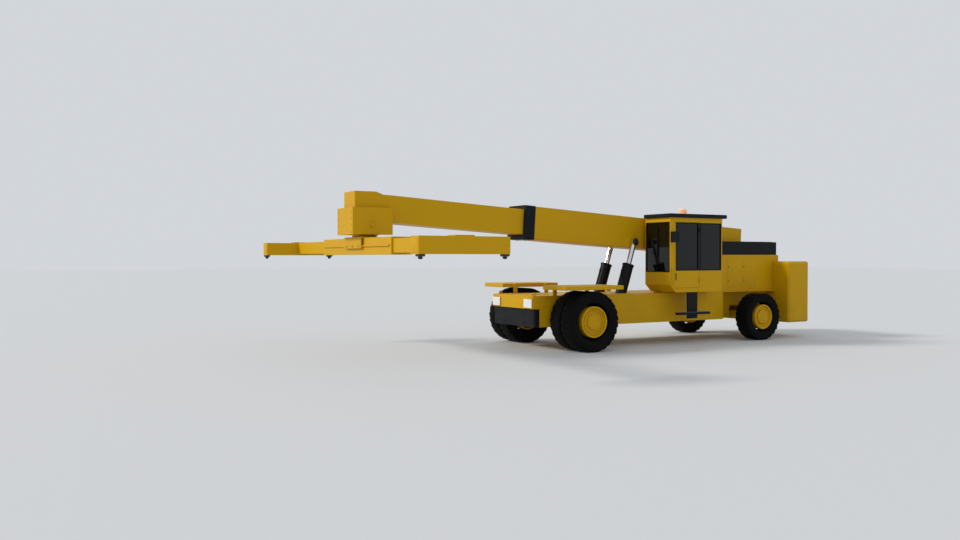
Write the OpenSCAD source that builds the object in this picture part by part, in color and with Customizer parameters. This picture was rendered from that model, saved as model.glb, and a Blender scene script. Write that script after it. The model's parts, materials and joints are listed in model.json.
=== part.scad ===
// Reach stacker: a wheeled port machine with a telescopic boom over its deck, which
// carries a spreader for long boxes. Millimetres. +X points to the spreader, +Y to the
// left side, where the cab is, and +Z up. Places along the machine are counted from the
// front axle, and at_axle() then moves them so that the whole part is centred.

/* [Wheels] */
// distance between the two axles
wheelbase = 7710; // [7400:10:8000]
// outer radius of a front tyre
front_tyre_r = 937; // [900:1:950]
// outer radius of a rear tyre
rear_tyre_r = 825; // [780:1:830]
// width of a front tyre
front_tyre_w = 500; // [460:5:510]
// width of a rear tyre
rear_tyre_w = 540; // [480:5:550]
// half of the width over the front tyres
front_half = 2390; // [2380:5:2500]
// half of the width over the rear tyres
rear_half = 2060; // [2050:5:2150]
// gap between twin tyres
twin_gap = 60; // [40:1:80]
// radius of a front rim
front_rim_r = 480; // [450:5:520]
// radius of a rear rim
rear_rim_r = 430; // [400:5:470]
// thickness of a rim's barrel
rim_wall = 40; // [25:1:50]
// thickness of a rim's middle disc
disc_t = 60; // [40:1:80]
// depth of the disc inside the rim's outer edge
disc_in = 70; // [40:5:110]
// radius of the wheel's hub cap
hub_r = 230; // [180:5:250]

/* [Frame] */
// height of the frame's underside
frame_low = 740; // [700:5:760]
// height of the deck
deck_z = 1720; // [1710:5:1760]
// thickness of the deck plate
deck_t = 30; // [20:1:35]
// half width of the frame between the axles
frame_half = 1290; // [1230:10:1300]
// gap between the nose and the twin tyres
nose_gap = 130; // [110:5:150]
// half width of the frame beside the rear wheels
waist_half = 850; // [780:10:870]
// front end of the nose, from the front axle
nose_x = 1480; // [1450:10:1600]
// depth of the bumper
bumper_d = 200; // [120:10:230]
// height of the bumper's top edge
bumper_top = 1300; // [1200:10:1320]
// half length of the arch over the front axle
arch_half = 430; // [380:10:500]
// height of the arch over the front axle
arch_top = 1240; // [1200:10:1300]
// front end of a fender, from the front axle
fender_front = 1110; // [1000:10:1200]
// rear end of a fender, behind the front axle
fender_back = 1140; // [1060:10:1145]
// gap between a front tyre and its fender
fender_gap = 46; // [30:1:60]
// thickness of a fender
fender_t = 130; // [80:5:150]
// width of a fender's post
post_w = 140; // [100:5:180]
// thickness of a fender's post
post_t = 80; // [60:5:100]
// distance from the front axle to a fender's post
post_x = 560; // [500:10:700]
// length of the pivot tower's foot, behind the pivot
tower_back = 480; // [400:10:500]
// length of the pivot tower's foot, in front of the pivot
tower_front = 750; // [600:10:800]
// thickness of a pivot tower
tower_t = 120; // [80:5:130]
// radius round the boom's pivot pin on a tower
tower_r = 230; // [200:5:250]
// gap between the boom and a pivot tower
tower_gap = 60; // [40:5:80]

// distance from the rear axle forward to the end of the frame's full width
side_ahead = 1190; // [1100:10:1250]
// distance from the rear axle forward to the end of the waist
waist_ahead = 820; // [780:10:900]

/* [Axles] */
// radius of the front axle's tube
tube_r = 190; // [150:5:220]
// radius of the differential's bowl
bowl_r = 290; // [250:5:300]
// half width of the differential's bowl
bowl_half = 260; // [200:5:300]
// radius of a front hub's drum
drum_r = 300; // [250:5:350]
// half length of the bracket between front axle and frame
bracket_half = 150; // [100:5:180]
// inner side of that bracket
bracket_in = 800; // [700:10:900]
// width of that bracket
bracket_w = 250; // [150:10:300]
// half length of the steer axle's middle box
steer_half = 260; // [200:5:300]
// half width of the steer axle's middle box
steer_mid = 330; // [300:5:400]
// half length of the steer axle's arms
steer_arm = 190; // [150:5:200]
// height of the steer axle's arms
steer_h = 290; // [250:5:320]
// distance from the rear wheel's centre down to the steer axle's underside
steer_drop = 125; // [100:5:150]
// distance from the rear wheel's outer side to its kingpin
kingpin_in = 730; // [710:5:760]
// radius of a kingpin
kingpin_r = 50; // [35:1:60]
// radius of the yoke's eyes round a kingpin
yoke_r = 120; // [100:5:125]
// length of the yoke's eyes
yoke_reach = 170; // [150:5:200]
// thickness of the yoke's eyes
yoke_t = 90; // [60:5:95]
// height of the upper eye over the rear wheel's centre
yoke_up = 265; // [240:5:270]
// distance from the rear wheel's centre down to the lower eye
yoke_down = 235; // [210:5:250]
// radius of a knuckle's spindle
spindle_r = 140; // [100:5:150]

/* [Lamps and towing] */
// width of a headlight
headlight_w = 450; // [350:10:500]
// height of a headlight
headlight_h = 270; // [200:10:280]
// distance from the deck down to a headlight
headlight_drop = 100; // [80:5:120]
// distance from the nose's side to a headlight
headlight_in = 30; // [20:5:60]
// how far the lamps stand out
lamp_d = 40; // [20:5:60]
// width of a tail lamp
tail_w = 300; // [200:10:350]
// height of a tail lamp
tail_h = 140; // [100:5:180]
// height of the tail lamps over the ground
tail_z = 1500; // [1300:10:1700]
// distance from the counterweight's side to a tail lamp
tail_in = 160; // [120:5:200]
// how far the towing ears stand out
tow_reach = 160; // [140:5:200]
// radius of the towing pin's bore
tow_r = 35; // [25:1:45]
// height of the towing pin
tow_z = 950; // [900:10:1100]
// half of the gap between the towing ears
tow_in = 60; // [40:5:80]
// thickness of a towing ear
tow_t = 60; // [40:5:80]
// height of a towing ear
tow_h = 260; // [200:10:300]

/* [Counterweight] */
// distance from the rear axle to the counterweight
weight_gap = 1440; // [1420:10:1600]
// depth of the counterweight
weight_d = 1070; // [900:10:1200]
// half width of the counterweight
weight_half = 1940; // [1700:10:2050]
// height of the counterweight's underside
weight_low = 560; // [500:10:640]
// height of the counterweight's top
weight_top = 2780; // [2700:10:2900]
// bevel along the counterweight's edges
weight_bevel = 70; // [20:5:110]

/* [Hood] */
// front wall of the hood, behind the cab
hood_front = -6000; // [-6200:10:-5900]
// half width of the hood
hood_half = 1150; // [1120:10:1200]
// height of the hood's sides
hood_top = 3020; // [2960:10:3040]
// height of the floor between the hood's sides
trough_z = 2640; // [2600:10:2680]
// thickness of the hood's panels
hood_t = 40; // [20:1:45]
// how far the hood reaches over the counterweight
hood_over = 330; // [200:10:500]

// distance from the boom's pivot back to the end of the room for the towers
room_back = 500; // [450:10:600]
// distance from the boom's pivot forward to the end of the room for the towers
room_ahead = 560; // [500:10:650]
// distance from the hood's front to the air box
air_back = 300; // [200:10:400]
// height of the air box
air_h = 470; // [350:10:500]
// distance from the hood's front to the engine
engine_back = 250; // [150:10:400]
// half of the engine's width
engine_half = 450; // [350:10:500]

/* [Cab] */
// front wall of the cab, from the front axle
cab_front = -3450; // [-3500:10:-3300]
// length of the cab
cab_len = 2350; // [2250:10:2400]
// inner side of the cab, next to the boom
cab_in = 712; // [712:1:730]
// outer side of the cab
cab_out = 1950; // [1900:5:2000]
// underside of the cab
cab_low = 1760; // [1755:5:1800]
// top of the cab's walls
cab_top = 4250; // [4200:10:4300]
// thickness of the cab's walls
cab_wall = 60; // [50:1:80]
// slope at the foot of the cab's front
cab_chamfer = 250; // [150:10:300]
// sill of the side windows
sill_z = 2500; // [2420:10:2560]
// top of the windows
window_top = 4070; // [3950:10:4100]
// width of the cab's pillars beside a window
pillar = 45; // [40:1:60]
// width of the door
door_w = 1130; // [1000:10:1180]
// gap round the door
door_gap = 8; // [6:1:12]
// thickness of the glass
glass_t = 12; // [8:1:16]
// thickness of the roof plate
roof_t = 130; // [80:5:160]
// how far the roof plate reaches over the cab's front
roof_front = 90; // [60:5:150]
// how far the roof plate reaches over the cab's back
roof_back = 150; // [60:5:160]
// how far the roof plate reaches over the cab's outer side
roof_out = 90; // [60:5:150]
// radius of the beacon
beacon_r = 135; // [80:5:140]
// height of the beacon's straight part
beacon_h = 170; // [100:5:200]
// distance from the cab's front to the beacon
beacon_back = 1100; // [800:10:1500]
// distance from the cab's outer side to the beacon
beacon_in = 600; // [400:10:800]
// height of the mirror's lower edge
mirror_z = 3420; // [3300:10:3500]
// height of the mirror
mirror_h = 360; // [300:10:400]
// width of the mirror
mirror_w = 300; // [200:10:300]
// thickness of the mirror's housing
mirror_t = 100; // [60:5:110]
// length of the mirror's arm
mirror_gap = 50; // [40:5:80]
// radius of the mirror's arm
mirror_r = 15; // [10:1:20]

/* [Step] */
// lower end of the hanger
hanger_low = 870; // [850:10:1000]
// width of the hanger
hanger_w = 450; // [350:10:500]
// thickness of the hanger
hanger_t = 50; // [30:5:60]
// distance from the cab's outer side to the hanger
hanger_in = 90; // [80:5:120]
// distance from the cab's front to the hanger
hanger_back = 810; // [700:10:900]
// height of the tread's underside
tread_z = 1010; // [1000:10:1100]
// thickness of the tread
tread_t = 80; // [50:5:90]
// width of the tread
tread_w = 150; // [120:5:160]
// length of the tread
tread_len = 1440; // [1000:10:1500]
// distance from the cab's front to the tread
tread_back = 260; // [200:10:400]

/* [Seat and wheel] */
// distance from the cab's front to the seat
seat_back = 1050; // [1000:10:1150]
// width of the seat
seat_w = 560; // [500:10:600]
// depth of the seat
seat_d = 530; // [450:10:560]
// height of the seat's base
seat_h = 420; // [350:10:450]
// thickness of the seat
seat_t = 140; // [100:5:160]
// height of the seat's back
seat_rise = 760; // [600:10:800]
// height of the steering column's foot
column_h = 640; // [550:10:680]
// width of the steering column's foot
column_w = 220; // [160:5:260]
// depth of the steering column's foot
column_d = 180; // [150:5:220]
// radius of the steering wheel
steering_r = 220; // [190:5:230]

/* [Boom] */
// boom pivot, from the front axle
pivot_x = -7850; // [-7900:10:-7800]
// height of the boom pivot
pivot_z = 3220; // [3200:5:3260]
// radius of the boom's pivot pin
pivot_r = 90; // [70:1:110]
// angle of the boom as parked
boom_angle = 3.53; // [3.3:0.01:3.8]
// half width of the outer boom
outer_half = 500; // [480:5:510]
// distance from the pivot's axis down to the outer boom's underside
outer_low = 270; // [250:5:290]
// distance from the pivot's axis up to the outer boom's top
outer_high = 790; // [760:5:820]
// length of the outer boom in front of the pivot
outer_len = 8830; // [8600:10:9000]
// overhang of the outer boom behind the pivot
outer_tail = 350; // [300:10:380]
// wall of the outer boom
outer_wall = 45; // [30:1:50]
// length of the outer boom's solid foot in front of the pivot
outer_foot = 150; // [120:10:180]
// length of the collar at the outer boom's mouth
collar_len = 380; // [300:10:450]
// how far the collar stands out round the outer boom
collar_out = 15; // [10:1:20]
// half width of the inner boom
inner_half = 410; // [390:5:420]
// distance from the pivot's axis down to the inner boom's underside
inner_low = 130; // [110:5:150]
// distance from the pivot's axis up to the inner boom's top
inner_high = 670; // [640:5:690]
// wall of the inner boom
inner_wall = 35; // [20:1:40]
// length of the inner boom that is inside the outer one as parked
inner_hidden = 5100; // [4800:10:5200]
// front end of the inner boom's box section, from the front axle
inner_end = 5900; // [5800:10:5950]

/* [Head] */
// height of the hinge that keeps the head level
head_pin_z = 3870; // [3860:5:3880]
// radius of the head's pin
head_pin_r = 70; // [50:1:80]
// length of the head, along the machine
head_len = 1240; // [1160:10:1300]
// half width of the head
head_half = 600; // [560:10:640]
// height of the head's underside
head_low = 3580; // [3570:5:3590]
// height of the head's cheeks
head_high = 4360; // [4250:10:4400]
// gap between the boom's nose and the head's cheeks
cheek_gap = 20; // [10:1:30]
// distance from the head's rear edge to its pin
head_back = 630; // [580:5:650]
// thickness of the head's front plate
head_t = 70; // [50:5:80]
// radius of the turning ring
ring_r = 360; // [340:5:380]
// width of the turning ring's race
ring_w = 60; // [40:5:80]
// radial play between the turning ring's two races
race_gap = 0.8; // [0.5:0.1:2]
// height of the turning ring's foot
ring_h = 60; // [50:2:80]
// length of the boom's nose in front of the head's pin
nose_len = 470; // [400:10:480]
// length of the boom's nose behind the head's pin
nose_back = 190; // [150:10:200]
// height of the nose over the head's cheeks
nose_rise = 470; // [400:10:500]
// height from the head's pin to the nose's underside
nose_foot = 330; // [300:10:400]
// radius of the nose's lug round the head's pin
lug_r = 125; // [100:5:130]

/* [Spreader] */
// middle of the spreader, from the front axle
spreader_x = 6580; // [6500:10:6700]
// height of the spreader's underside
spreader_z = 3000; // [2980:5:3010]
// spacing of the twistlocks along the spreader
lock_long = 11985; // [11600:1:12100]
// spacing of the twistlocks across the spreader
lock_wide = 2259; // [2200:1:2280]
// radius of a twistlock's shank
lock_r = 40; // [30:1:45]
// half width of the middle beam
beam_half = 310; // [280:5:330]
// height of the middle beam
beam_h = 480; // [460:5:485]
// half length of the middle beam
beam_len = 2575; // [2480:5:2580]
// wall of the middle beam
beam_wall = 35; // [25:1:40]
// running gap round the arms inside the beam
arm_gap = 14; // [8:1:20]
// gap between two tubes that pass each other inside the beam
lane_gap = 8; // [5:1:20]
// depth of the guides at the beam's two mouths
guide_d = 120; // [80:5:200]
// height of a cross member
cross_h = 420; // [380:5:430]
// thickness of a cross member
cross_t = 450; // [380:10:480]
// distance from a twistlock to the end of its cross member
cross_end = 90; // [75:5:110]
// distance from a twistlock to the spreader's outer side
cross_side = 110; // [80:5:120]
// length of an arm that stays inside the middle beam
arm_hidden = 250; // [200:10:400]
// height of the beam's side rails over its underside
rail_up = 230; // [200:10:280]
// width of the beam's side rails
rail_out = 40; // [30:5:50]
// thickness of the beam's side rails
rail_t = 40; // [25:5:50]
// half length of the carriage
carriage_half = 650; // [550:10:700]
// thickness of the carriage's cheeks
carriage_t = 40; // [30:5:50]
// thickness of the carriage's top plate
carriage_top = 30; // [20:5:35]

/* [Lift cylinders] */
// distance of a lift cylinder from the middle of the machine
lift_y = 595; // [594:1:596]
// base pin of a lift cylinder, from the front axle
base_x = -2207; // [-2250:1:-2150]
// height of the base pin
base_z = 900; // [880:5:920]
// eye of the rod, from the front axle
eye_x = -3050; // [-3100:5:-3000]
// height of the rod's eye
eye_z = 3450; // [3400:5:3480]
// outer radius of the barrel
barrel_r = 185; // [180:1:190]
// length of the barrel from its base pin
barrel_len = 1853; // [1800:1:1880]
// outer radius of the first sleeve
sleeve_r = 126; // [125:1:130]
// outer radius of the second sleeve
stage_r = 109; // [108:1:110]
// radius of the rod
rod_r = 91; // [80:1:92]
// how far each sleeve's end shows as parked
step_out = 30; // [15:1:40]

/* [Hidden] */
// facets round a wheel, round a boss that a hull joins to its plate, and round the rest
wheel_facets = 30;
hull_facets = 48;
round_facets = 18;
yellow = [0.86, 0.58, 0.07];
dark = [0.06, 0.06, 0.07];
rubber = [0.04, 0.04, 0.045];
steel = [0.72, 0.73, 0.75];
glass = [0.08, 0.1, 0.12, 0.6];
lamp = [0.95, 0.95, 0.92];
red = [0.7, 0.08, 0.06];
amber = [1, 0.55, 0.2];
iron = [0.35, 0.36, 0.38];

fit = 0.3;
far = 4000;

rear_x = -wheelbase;
weight_front = rear_x - weight_gap;
weight_rear = weight_front - weight_d;
cross_half = lock_wide / 2 + cross_end;
part_front = spreader_x + cross_half;
part_rear = weight_rear - tow_reach;

nose_half = front_half - 2 * front_tyre_w - twin_gap - nose_gap;
nose_foot_x = nose_x - bumper_d - 50;
kingpin_y = rear_half - kingpin_in;
yoke_low = rear_tyre_r - yoke_down;
yoke_high = rear_tyre_r + yoke_up;
yoke_top = yoke_high + yoke_t;
side_front = -fender_back - 10;
side_rear = rear_x + side_ahead;
waist_front = rear_x + waist_ahead;
well_in = lift_y - barrel_r - 35;
well_out = lift_y + barrel_r + 35;
lift_len = norm([eye_x - base_x, eye_z - base_z]);
lift_lean = atan2(base_x - eye_x, eye_z - base_z);
well_front = base_x + barrel_r + 35;
well_rear = base_x - (deck_z - base_z) * tan(lift_lean + 3) - barrel_r - 60;
tower_in = outer_half + tower_gap;

cab_rear = cab_front - cab_len;
door_front = cab_front - 170;
door_rear = door_front - door_w;
door_low = cab_low + 140;
door_top = window_top + 30;
hinge_x = door_rear - 8;
hinge_y = cab_out + 20;

collar_end = outer_len + collar_len;
inner_rear = collar_end - inner_hidden;
inner_front = (inner_end - pivot_x) / cos(boom_angle);
nose_front = spreader_x + nose_len;
beam_top = spreader_z + beam_h;
cross_out = lock_long / 2 + cross_side;
cross_in = cross_out - cross_t;
arm_half = beam_half - beam_wall - arm_gap;
arm_low = spreader_z + beam_wall + arm_gap;
arm_top = beam_top - beam_wall - arm_gap;
lane_w = (2 * arm_half - 3 * lane_gap) / 4;
rail_z = spreader_z + rail_up;
carriage_out = beam_half + rail_out + carriage_t;

barrel_wall = 20;
tube_wall = 14;
cap_t = 30;
gland = 50;
travel_low = 95;
barrel_floor = 130;
sleeve_low = barrel_floor + travel_low;
sleeve_top = barrel_len + step_out;
stage_low = sleeve_low + cap_t + travel_low;
stage_top = sleeve_top + step_out;
rod_low = stage_low + cap_t + travel_low;
lift_pin_r = 60;
eye_half = 93;

// every place along the machine is counted from the front axle
module at_axle() {
  translate([-(part_front + part_rear) / 2, 0, 0]) children();
}

// left side as it is for 1, mirrored to the right for -1
module side(s) {
  if (s > 0) {
    children();
  } else {
    mirror([0, 1, 0]) children();
  }
}

// a box between two corners
module box(a, b) {
  translate([min(a[0], b[0]), min(a[1], b[1]), min(a[2], b[2])])
    cube([abs(b[0] - a[0]), abs(b[1] - a[1]), abs(b[2] - a[2])]);
}

// a round bar along Y through x, z, between two sides
module bar_y(r, x, z, y0, y1) {
  translate([x, y0, z]) rotate([-90, 0, 0]) cylinder(r = r, h = y1 - y0, $fn = round_facets);
}

// a plate in the X-Z plane, from side y0 to y1
module plate_y(y0, y1) {
  translate([0, y1, 0]) rotate([90, 0, 0]) linear_extrude(y1 - y0) children();
}

// a section in the Y-Z plane, run from x0 to x1
module run_x(x0, x1) {
  translate([x0, 0, 0]) rotate([90, 0, 90]) linear_extrude(x1 - x0) children();
}

// a rectangle with its four corners cut
module cut_rect(x0, z0, x1, z1, c) {
  polygon([[x0 + c, z0], [x1 - c, z0], [x1, z0 + c], [x1, z1 - c],
    [x1 - c, z1], [x0 + c, z1], [x0, z1 - c], [x0, z0 + c]]);
}

// the boom's own frame: X along the boom from its pivot, Z square to it
module on_boom() {
  translate([pivot_x, 0, pivot_z]) rotate([0, -boom_angle, 0]) children();
}

// plan of the frame: nose, side boxes, and the waist between the rear wheels
module frame_plan(front) {
  polygon([[front, nose_half], [side_front, nose_half], [side_front, frame_half],
    [side_rear, frame_half], [waist_front, waist_half], [weight_front, waist_half],
    [weight_front, -waist_half], [waist_front, -waist_half], [side_rear, -frame_half],
    [side_front, -frame_half], [side_front, -nose_half], [front, -nose_half]]);
}

module deck_plan() {
  polygon([[nose_x, nose_half], [side_front, nose_half], [side_front, frame_half],
    [weight_front, frame_half], [weight_front, -frame_half], [side_front, -frame_half],
    [side_front, -nose_half], [nose_x, -nose_half]]);
}

// one of the two plates that carry the boom's pivot
module tower() {
  plate_y(tower_in, tower_in + tower_t) difference() {
    hull() {
      translate([pivot_x, pivot_z]) circle(r = tower_r, $fn = hull_facets);
      translate([pivot_x - tower_back, deck_z]) square([tower_back + tower_front, deck_t]);
    }
    translate([pivot_x, pivot_z]) circle(r = pivot_r + fit, $fn = round_facets);
  }
}

module boom_towers() {
  color(yellow) at_axle() for (s = [-1, 1]) {
    side(s) tower();
  }
}

module chassis() {
  color(yellow) at_axle() difference() {
    union() {
      translate([0, 0, frame_low]) linear_extrude(deck_z - deck_t - frame_low)
        frame_plan(nose_foot_x);
      box([nose_x, -nose_half, bumper_top + 10], [0, nose_half, deck_z - deck_t]);
      translate([0, 0, deck_z - deck_t]) linear_extrude(deck_t) deck_plan();
    }
    box([-arch_half, -far, 0], [arch_half, far, arch_top]);
    box([rear_x - arch_half, -far, 0], [rear_x + arch_half, far, yoke_top]);
    for (s = [-1, 1]) {
      box([well_front, s * well_in, frame_low + 40], [well_rear, s * well_out, far]);
    }
  }
  color(steel) at_axle() for (s = [-1, 1]) {
    side(s) bar_y(lift_pin_r, base_x, base_z, well_in, well_out);
  }
}

module bumper() {
  color(dark) at_axle() translate([0, 0, frame_low]) linear_extrude(bumper_top - frame_low)
    polygon([[nose_foot_x, -nose_half], [nose_x - 90, -nose_half],
      [nose_x - 50, -nose_half + 40], [nose_x - 50, nose_half - 40],
      [nose_x - 90, nose_half], [nose_foot_x, nose_half]]);
}

module headlights() {
  color(lamp) at_axle() for (s = [-1, 1]) {
    side(s) translate([nose_x, nose_half - headlight_in - headlight_w, deck_z - headlight_drop - headlight_h])
      cube([lamp_d, headlight_w, headlight_h]);
  }
}

module tail_lamps() {
  color(red) at_axle() for (s = [-1, 1]) {
    side(s) translate([weight_rear - lamp_d, weight_half - tail_in - tail_w, tail_z])
      cube([lamp_d, tail_w, tail_h]);
  }
}

// cast block with every edge bevelled, and the ears of the towing pin
module counterweight() {
  color(yellow) at_axle() difference() {
    union() {
      intersection() {
        plate_y(-weight_half, weight_half)
          cut_rect(weight_rear, weight_low, weight_front, weight_top, weight_bevel);
        run_x(weight_rear, weight_front)
          cut_rect(-weight_half, weight_low, weight_half, weight_top, weight_bevel);
        translate([0, 0, weight_low]) linear_extrude(weight_top - weight_low)
          cut_rect(weight_rear, -weight_half, weight_front, weight_half, weight_bevel);
      }
      for (s = [-1, 1]) {
        side(s) translate([part_rear, tow_in, tow_z - tow_h / 2]) cube([tow_reach, tow_t, tow_h]);
      }
    }
    bar_y(tow_r, weight_rear - tow_reach / 2, tow_z, -tow_in - tow_t - 1, tow_in + tow_t + 1);
  }
}

// rigid drive axle: tube, differential bowl, hub drums and the brackets to the frame
module front_axle() {
  disc_y = front_half - disc_in - disc_t;
  hub_y = front_half - 2 * front_tyre_w - twin_gap - 20;
  color(yellow) at_axle() {
    bar_y(tube_r, 0, front_tyre_r, -hub_y, hub_y);
    bar_y(bowl_r, 0, front_tyre_r, -bowl_half, bowl_half);
    for (s = [-1, 1]) {
      side(s) {
        bar_y(drum_r, 0, front_tyre_r, hub_y, disc_y - fit);
        box([-bracket_half, bracket_in, front_tyre_r], [bracket_half, bracket_in + bracket_w, arch_top]);
      }
    }
  }
}

// steer axle: box beam hung under the frame, with a yoke for each kingpin
module rear_axle() {
  low = rear_tyre_r - steer_drop;
  yoke_in = kingpin_y - yoke_reach;
  color(yellow) at_axle() translate([rear_x, 0, 0]) {
    box([-steer_half, -steer_mid, low], [steer_half, steer_mid, yoke_top]);
    for (s = [-1, 1]) {
      side(s) difference() {
        union() {
          box([-steer_arm, steer_mid, low], [steer_arm, yoke_in, low + steer_h]);
          box([-yoke_r, yoke_in - 160, yoke_low], [yoke_r, yoke_in, yoke_top]);
          for (z = [yoke_low, yoke_high]) {
            box([-yoke_r, yoke_in, z], [yoke_r, kingpin_y, z + yoke_t]);
            translate([0, kingpin_y, z]) cylinder(r = yoke_r, h = yoke_t, $fn = round_facets);
          }
        }
        translate([0, kingpin_y, 0]) cylinder(r = kingpin_r + fit, h = far, $fn = round_facets);
      }
    }
  }
}

// knuckle: kingpin, its block between the yoke's eyes, and the wheel's spindle
module knuckle(s) {
  disc_y = rear_half - disc_in - disc_t;
  color(dark) at_axle() side(s) translate([rear_x, kingpin_y, 0]) {
    translate([0, 0, yoke_low]) cylinder(r = kingpin_r, h = yoke_top - yoke_low, $fn = round_facets);
    translate([0, 0, yoke_low + yoke_t + fit])
      cylinder(r = yoke_r - 5, h = yoke_high - yoke_low - yoke_t - 2 * fit, $fn = round_facets);
    bar_y(spindle_r, 0, rear_tyre_r, 0, disc_y - 120 - kingpin_y);
    bar_y(hub_r - 40, 0, rear_tyre_r, disc_y - 120 - kingpin_y, disc_y - fit - kingpin_y);
  }
}

module knuckle_left() {
  knuckle(1);
}

module knuckle_right() {
  knuckle(-1);
}

// flat plate over the twin tyres, on two posts at its inner edge
module fender(s) {
  low = 2 * front_tyre_r + fender_gap;
  color(yellow) at_axle() side(s) {
    box([-fender_back, nose_half - 10, low], [fender_front, front_half, low + fender_t]);
    for (x = [-post_x - post_w, post_x]) {
      box([x, nose_half - post_t, deck_z], [x + post_w, nose_half - 10, low + fender_t]);
    }
  }
}

module fender_left() {
  fender(1);
}

module fender_right() {
  fender(-1);
}

// hollow engine cover: two raised sides with the boom's trough between them
module hood() {
  t = hood_t;
  trough = tower_in + tower_t + 20;
  color(yellow) at_axle() difference() {
    run_x(weight_front - hood_over, hood_front) polygon([[-hood_half, deck_z], [hood_half, deck_z],
      [hood_half, hood_top - 30], [hood_half - 30, hood_top], [trough, hood_top], [trough, trough_z],
      [-trough, trough_z], [-trough, hood_top], [-hood_half + 30, hood_top],
      [-hood_half, hood_top - 30]]);
    box([weight_front + t, -hood_half + t, deck_z - 1], [hood_front - t, hood_half - t, trough_z - t]);
    for (s = [-1, 1]) {
      side(s) {
        box([weight_front + t, trough + t, trough_z - t - 1], [hood_front - t, hood_half - t, hood_top - t]);
        box([pivot_x - room_back, tower_in - 20, deck_z], [pivot_x + room_ahead, trough + 1, trough_z + 1]);
      }
    }
    box([weight_front, -far, 0], [weight_front - far, far, weight_top]);
  }
}

module air_box() {
  side_low = tower_in + tower_t + 60;
  color(dark) at_axle() box([hood_front - air_back, side_low, hood_top],
    [weight_front - hood_over + 20, hood_half - 70, hood_top + air_h]);
}

module engine() {
  color(iron) at_axle() box([hood_front - engine_back, -engine_half, deck_z], [pivot_x - 50, engine_half, trough_z - 120]);
}

// the cab's side view, with the slope at the foot of its front wall
module cab_outline(d) {
  polygon([[cab_rear + d, cab_low + d], [cab_front - cab_chamfer - 0.4 * d, cab_low + d],
    [cab_front - d, cab_low + cab_chamfer + 0.4 * d], [cab_front - d, cab_top - d],
    [cab_rear + d, cab_top - d]]);
}

module cab_shell() {
  w = cab_wall;
  color(yellow) at_axle() {
    difference() {
      plate_y(cab_in, cab_out) cab_outline(0);
      plate_y(cab_in + w, cab_out - w) cab_outline(w);
      front_window(-1, w + 1);
      rear_window(-1, w + 1);
      inner_window(-1, w + 1);
      outer_window(-1, w + 1);
      box([door_front, cab_out + 1, door_low], [door_rear, cab_out - w - 1, door_top]);
    }
    for (x = [cab_front - 500, cab_rear + 300]) {
      box([x, cab_in + 100, deck_z], [x + 200, frame_half - 30, cab_low]);
    }
    for (z = [door_low + 200, door_top - 320]) {
      translate([hinge_x, hinge_y, z]) cylinder(r = 18, h = 60, $fn = round_facets);
      box([hinge_x - 40, cab_out, z], [hinge_x, cab_out + 12, z + 60]);
    }
  }
}

// window openings, from depth d0 to d1 under the cab's surface
module front_window(d0, d1) {
  box([cab_front - d0, cab_in + pillar, sill_z - 50], [cab_front - d1, cab_out - pillar, window_top + 20]);
}

module rear_window(d0, d1) {
  box([cab_rear + d0, cab_in + 3 * pillar, sill_z + 100], [cab_rear + d1, cab_out - 3 * pillar, window_top]);
}

module inner_window(d0, d1) {
  box([cab_front - 260, cab_in + d0, sill_z], [cab_rear + 120, cab_in + d1, window_top]);
}

module outer_window(d0, d1) {
  box([door_rear - 60, cab_out - d0, sill_z], [cab_rear + 60, cab_out - d1, window_top]);
}

module door_window(d0, d1) {
  box([door_front - 90, cab_out - d0, sill_z], [door_rear + 60, cab_out - d1, window_top]);
}

module cab_roof() {
  color(dark) at_axle() box([cab_front + roof_front, cab_in, cab_top],
    [cab_rear - roof_back, cab_out + roof_out, cab_top + roof_t]);
}

module cab_glass() {
  color(glass) at_axle() {
    front_window(20, 20 + glass_t);
    rear_window(20, 20 + glass_t);
    inner_window(20, 20 + glass_t);
    outer_window(20, 20 + glass_t);
  }
}

module cab_door() {
  color(yellow) at_axle() {
    difference() {
      box([door_front - door_gap, cab_out - 2, door_low + door_gap],
        [door_rear + door_gap, cab_out - cab_wall + 2, door_top - door_gap]);
      door_window(-1, cab_wall + 1);
    }
    for (z = [door_low + 260 + fit, door_top - 260 + fit]) {
      translate([hinge_x, hinge_y, z]) cylinder(r = 18, h = 60, $fn = round_facets);
      box([hinge_x, cab_out + 1, z], [hinge_x + 60, cab_out + 12, z + 60]);
      box([door_rear + door_gap, cab_out - 2, z], [hinge_x + 60, cab_out + 12, z + 60]);
    }
  }
}

module door_glass() {
  color(glass) at_axle() door_window(20, 20 + glass_t);
}

// seat, and the column with its steering wheel
module cab_interior() {
  floor_z = cab_low + cab_wall;
  seat_z = floor_z + seat_h;
  column_x = cab_front - 300;
  color(dark) at_axle() translate([0, (cab_in + cab_out) / 2, 0]) {
    box([cab_front - seat_back - 60, -180, floor_z], [cab_front - seat_back - 400, 180, seat_z]);
    box([cab_front - seat_back, -seat_w / 2, seat_z],
      [cab_front - seat_back - seat_d, seat_w / 2, seat_z + seat_t]);
    translate([cab_front - seat_back - seat_d + 50, 0, seat_z + seat_t]) rotate([0, -8, 0])
      box([-120, -seat_w / 2 + 10, -8], [0, seat_w / 2 - 10, seat_rise]);
    box([column_x, -column_w / 2, floor_z], [column_x - column_d, column_w / 2, floor_z + column_h]);
    translate([column_x - column_d + 50, 0, floor_z + column_h - 40]) rotate([0, -30, 0]) {
      cylinder(r = 35, h = 260, $fn = round_facets);
      translate([0, 0, 240]) difference() {
        cylinder(r = steering_r, h = 32, $fn = round_facets);
        translate([0, 0, -1]) cylinder(r = steering_r - 35, h = 34, $fn = round_facets);
      }
      box([-steering_r + 30, -22, 244], [steering_r - 30, 22, 268]);
    }
  }
}

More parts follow.
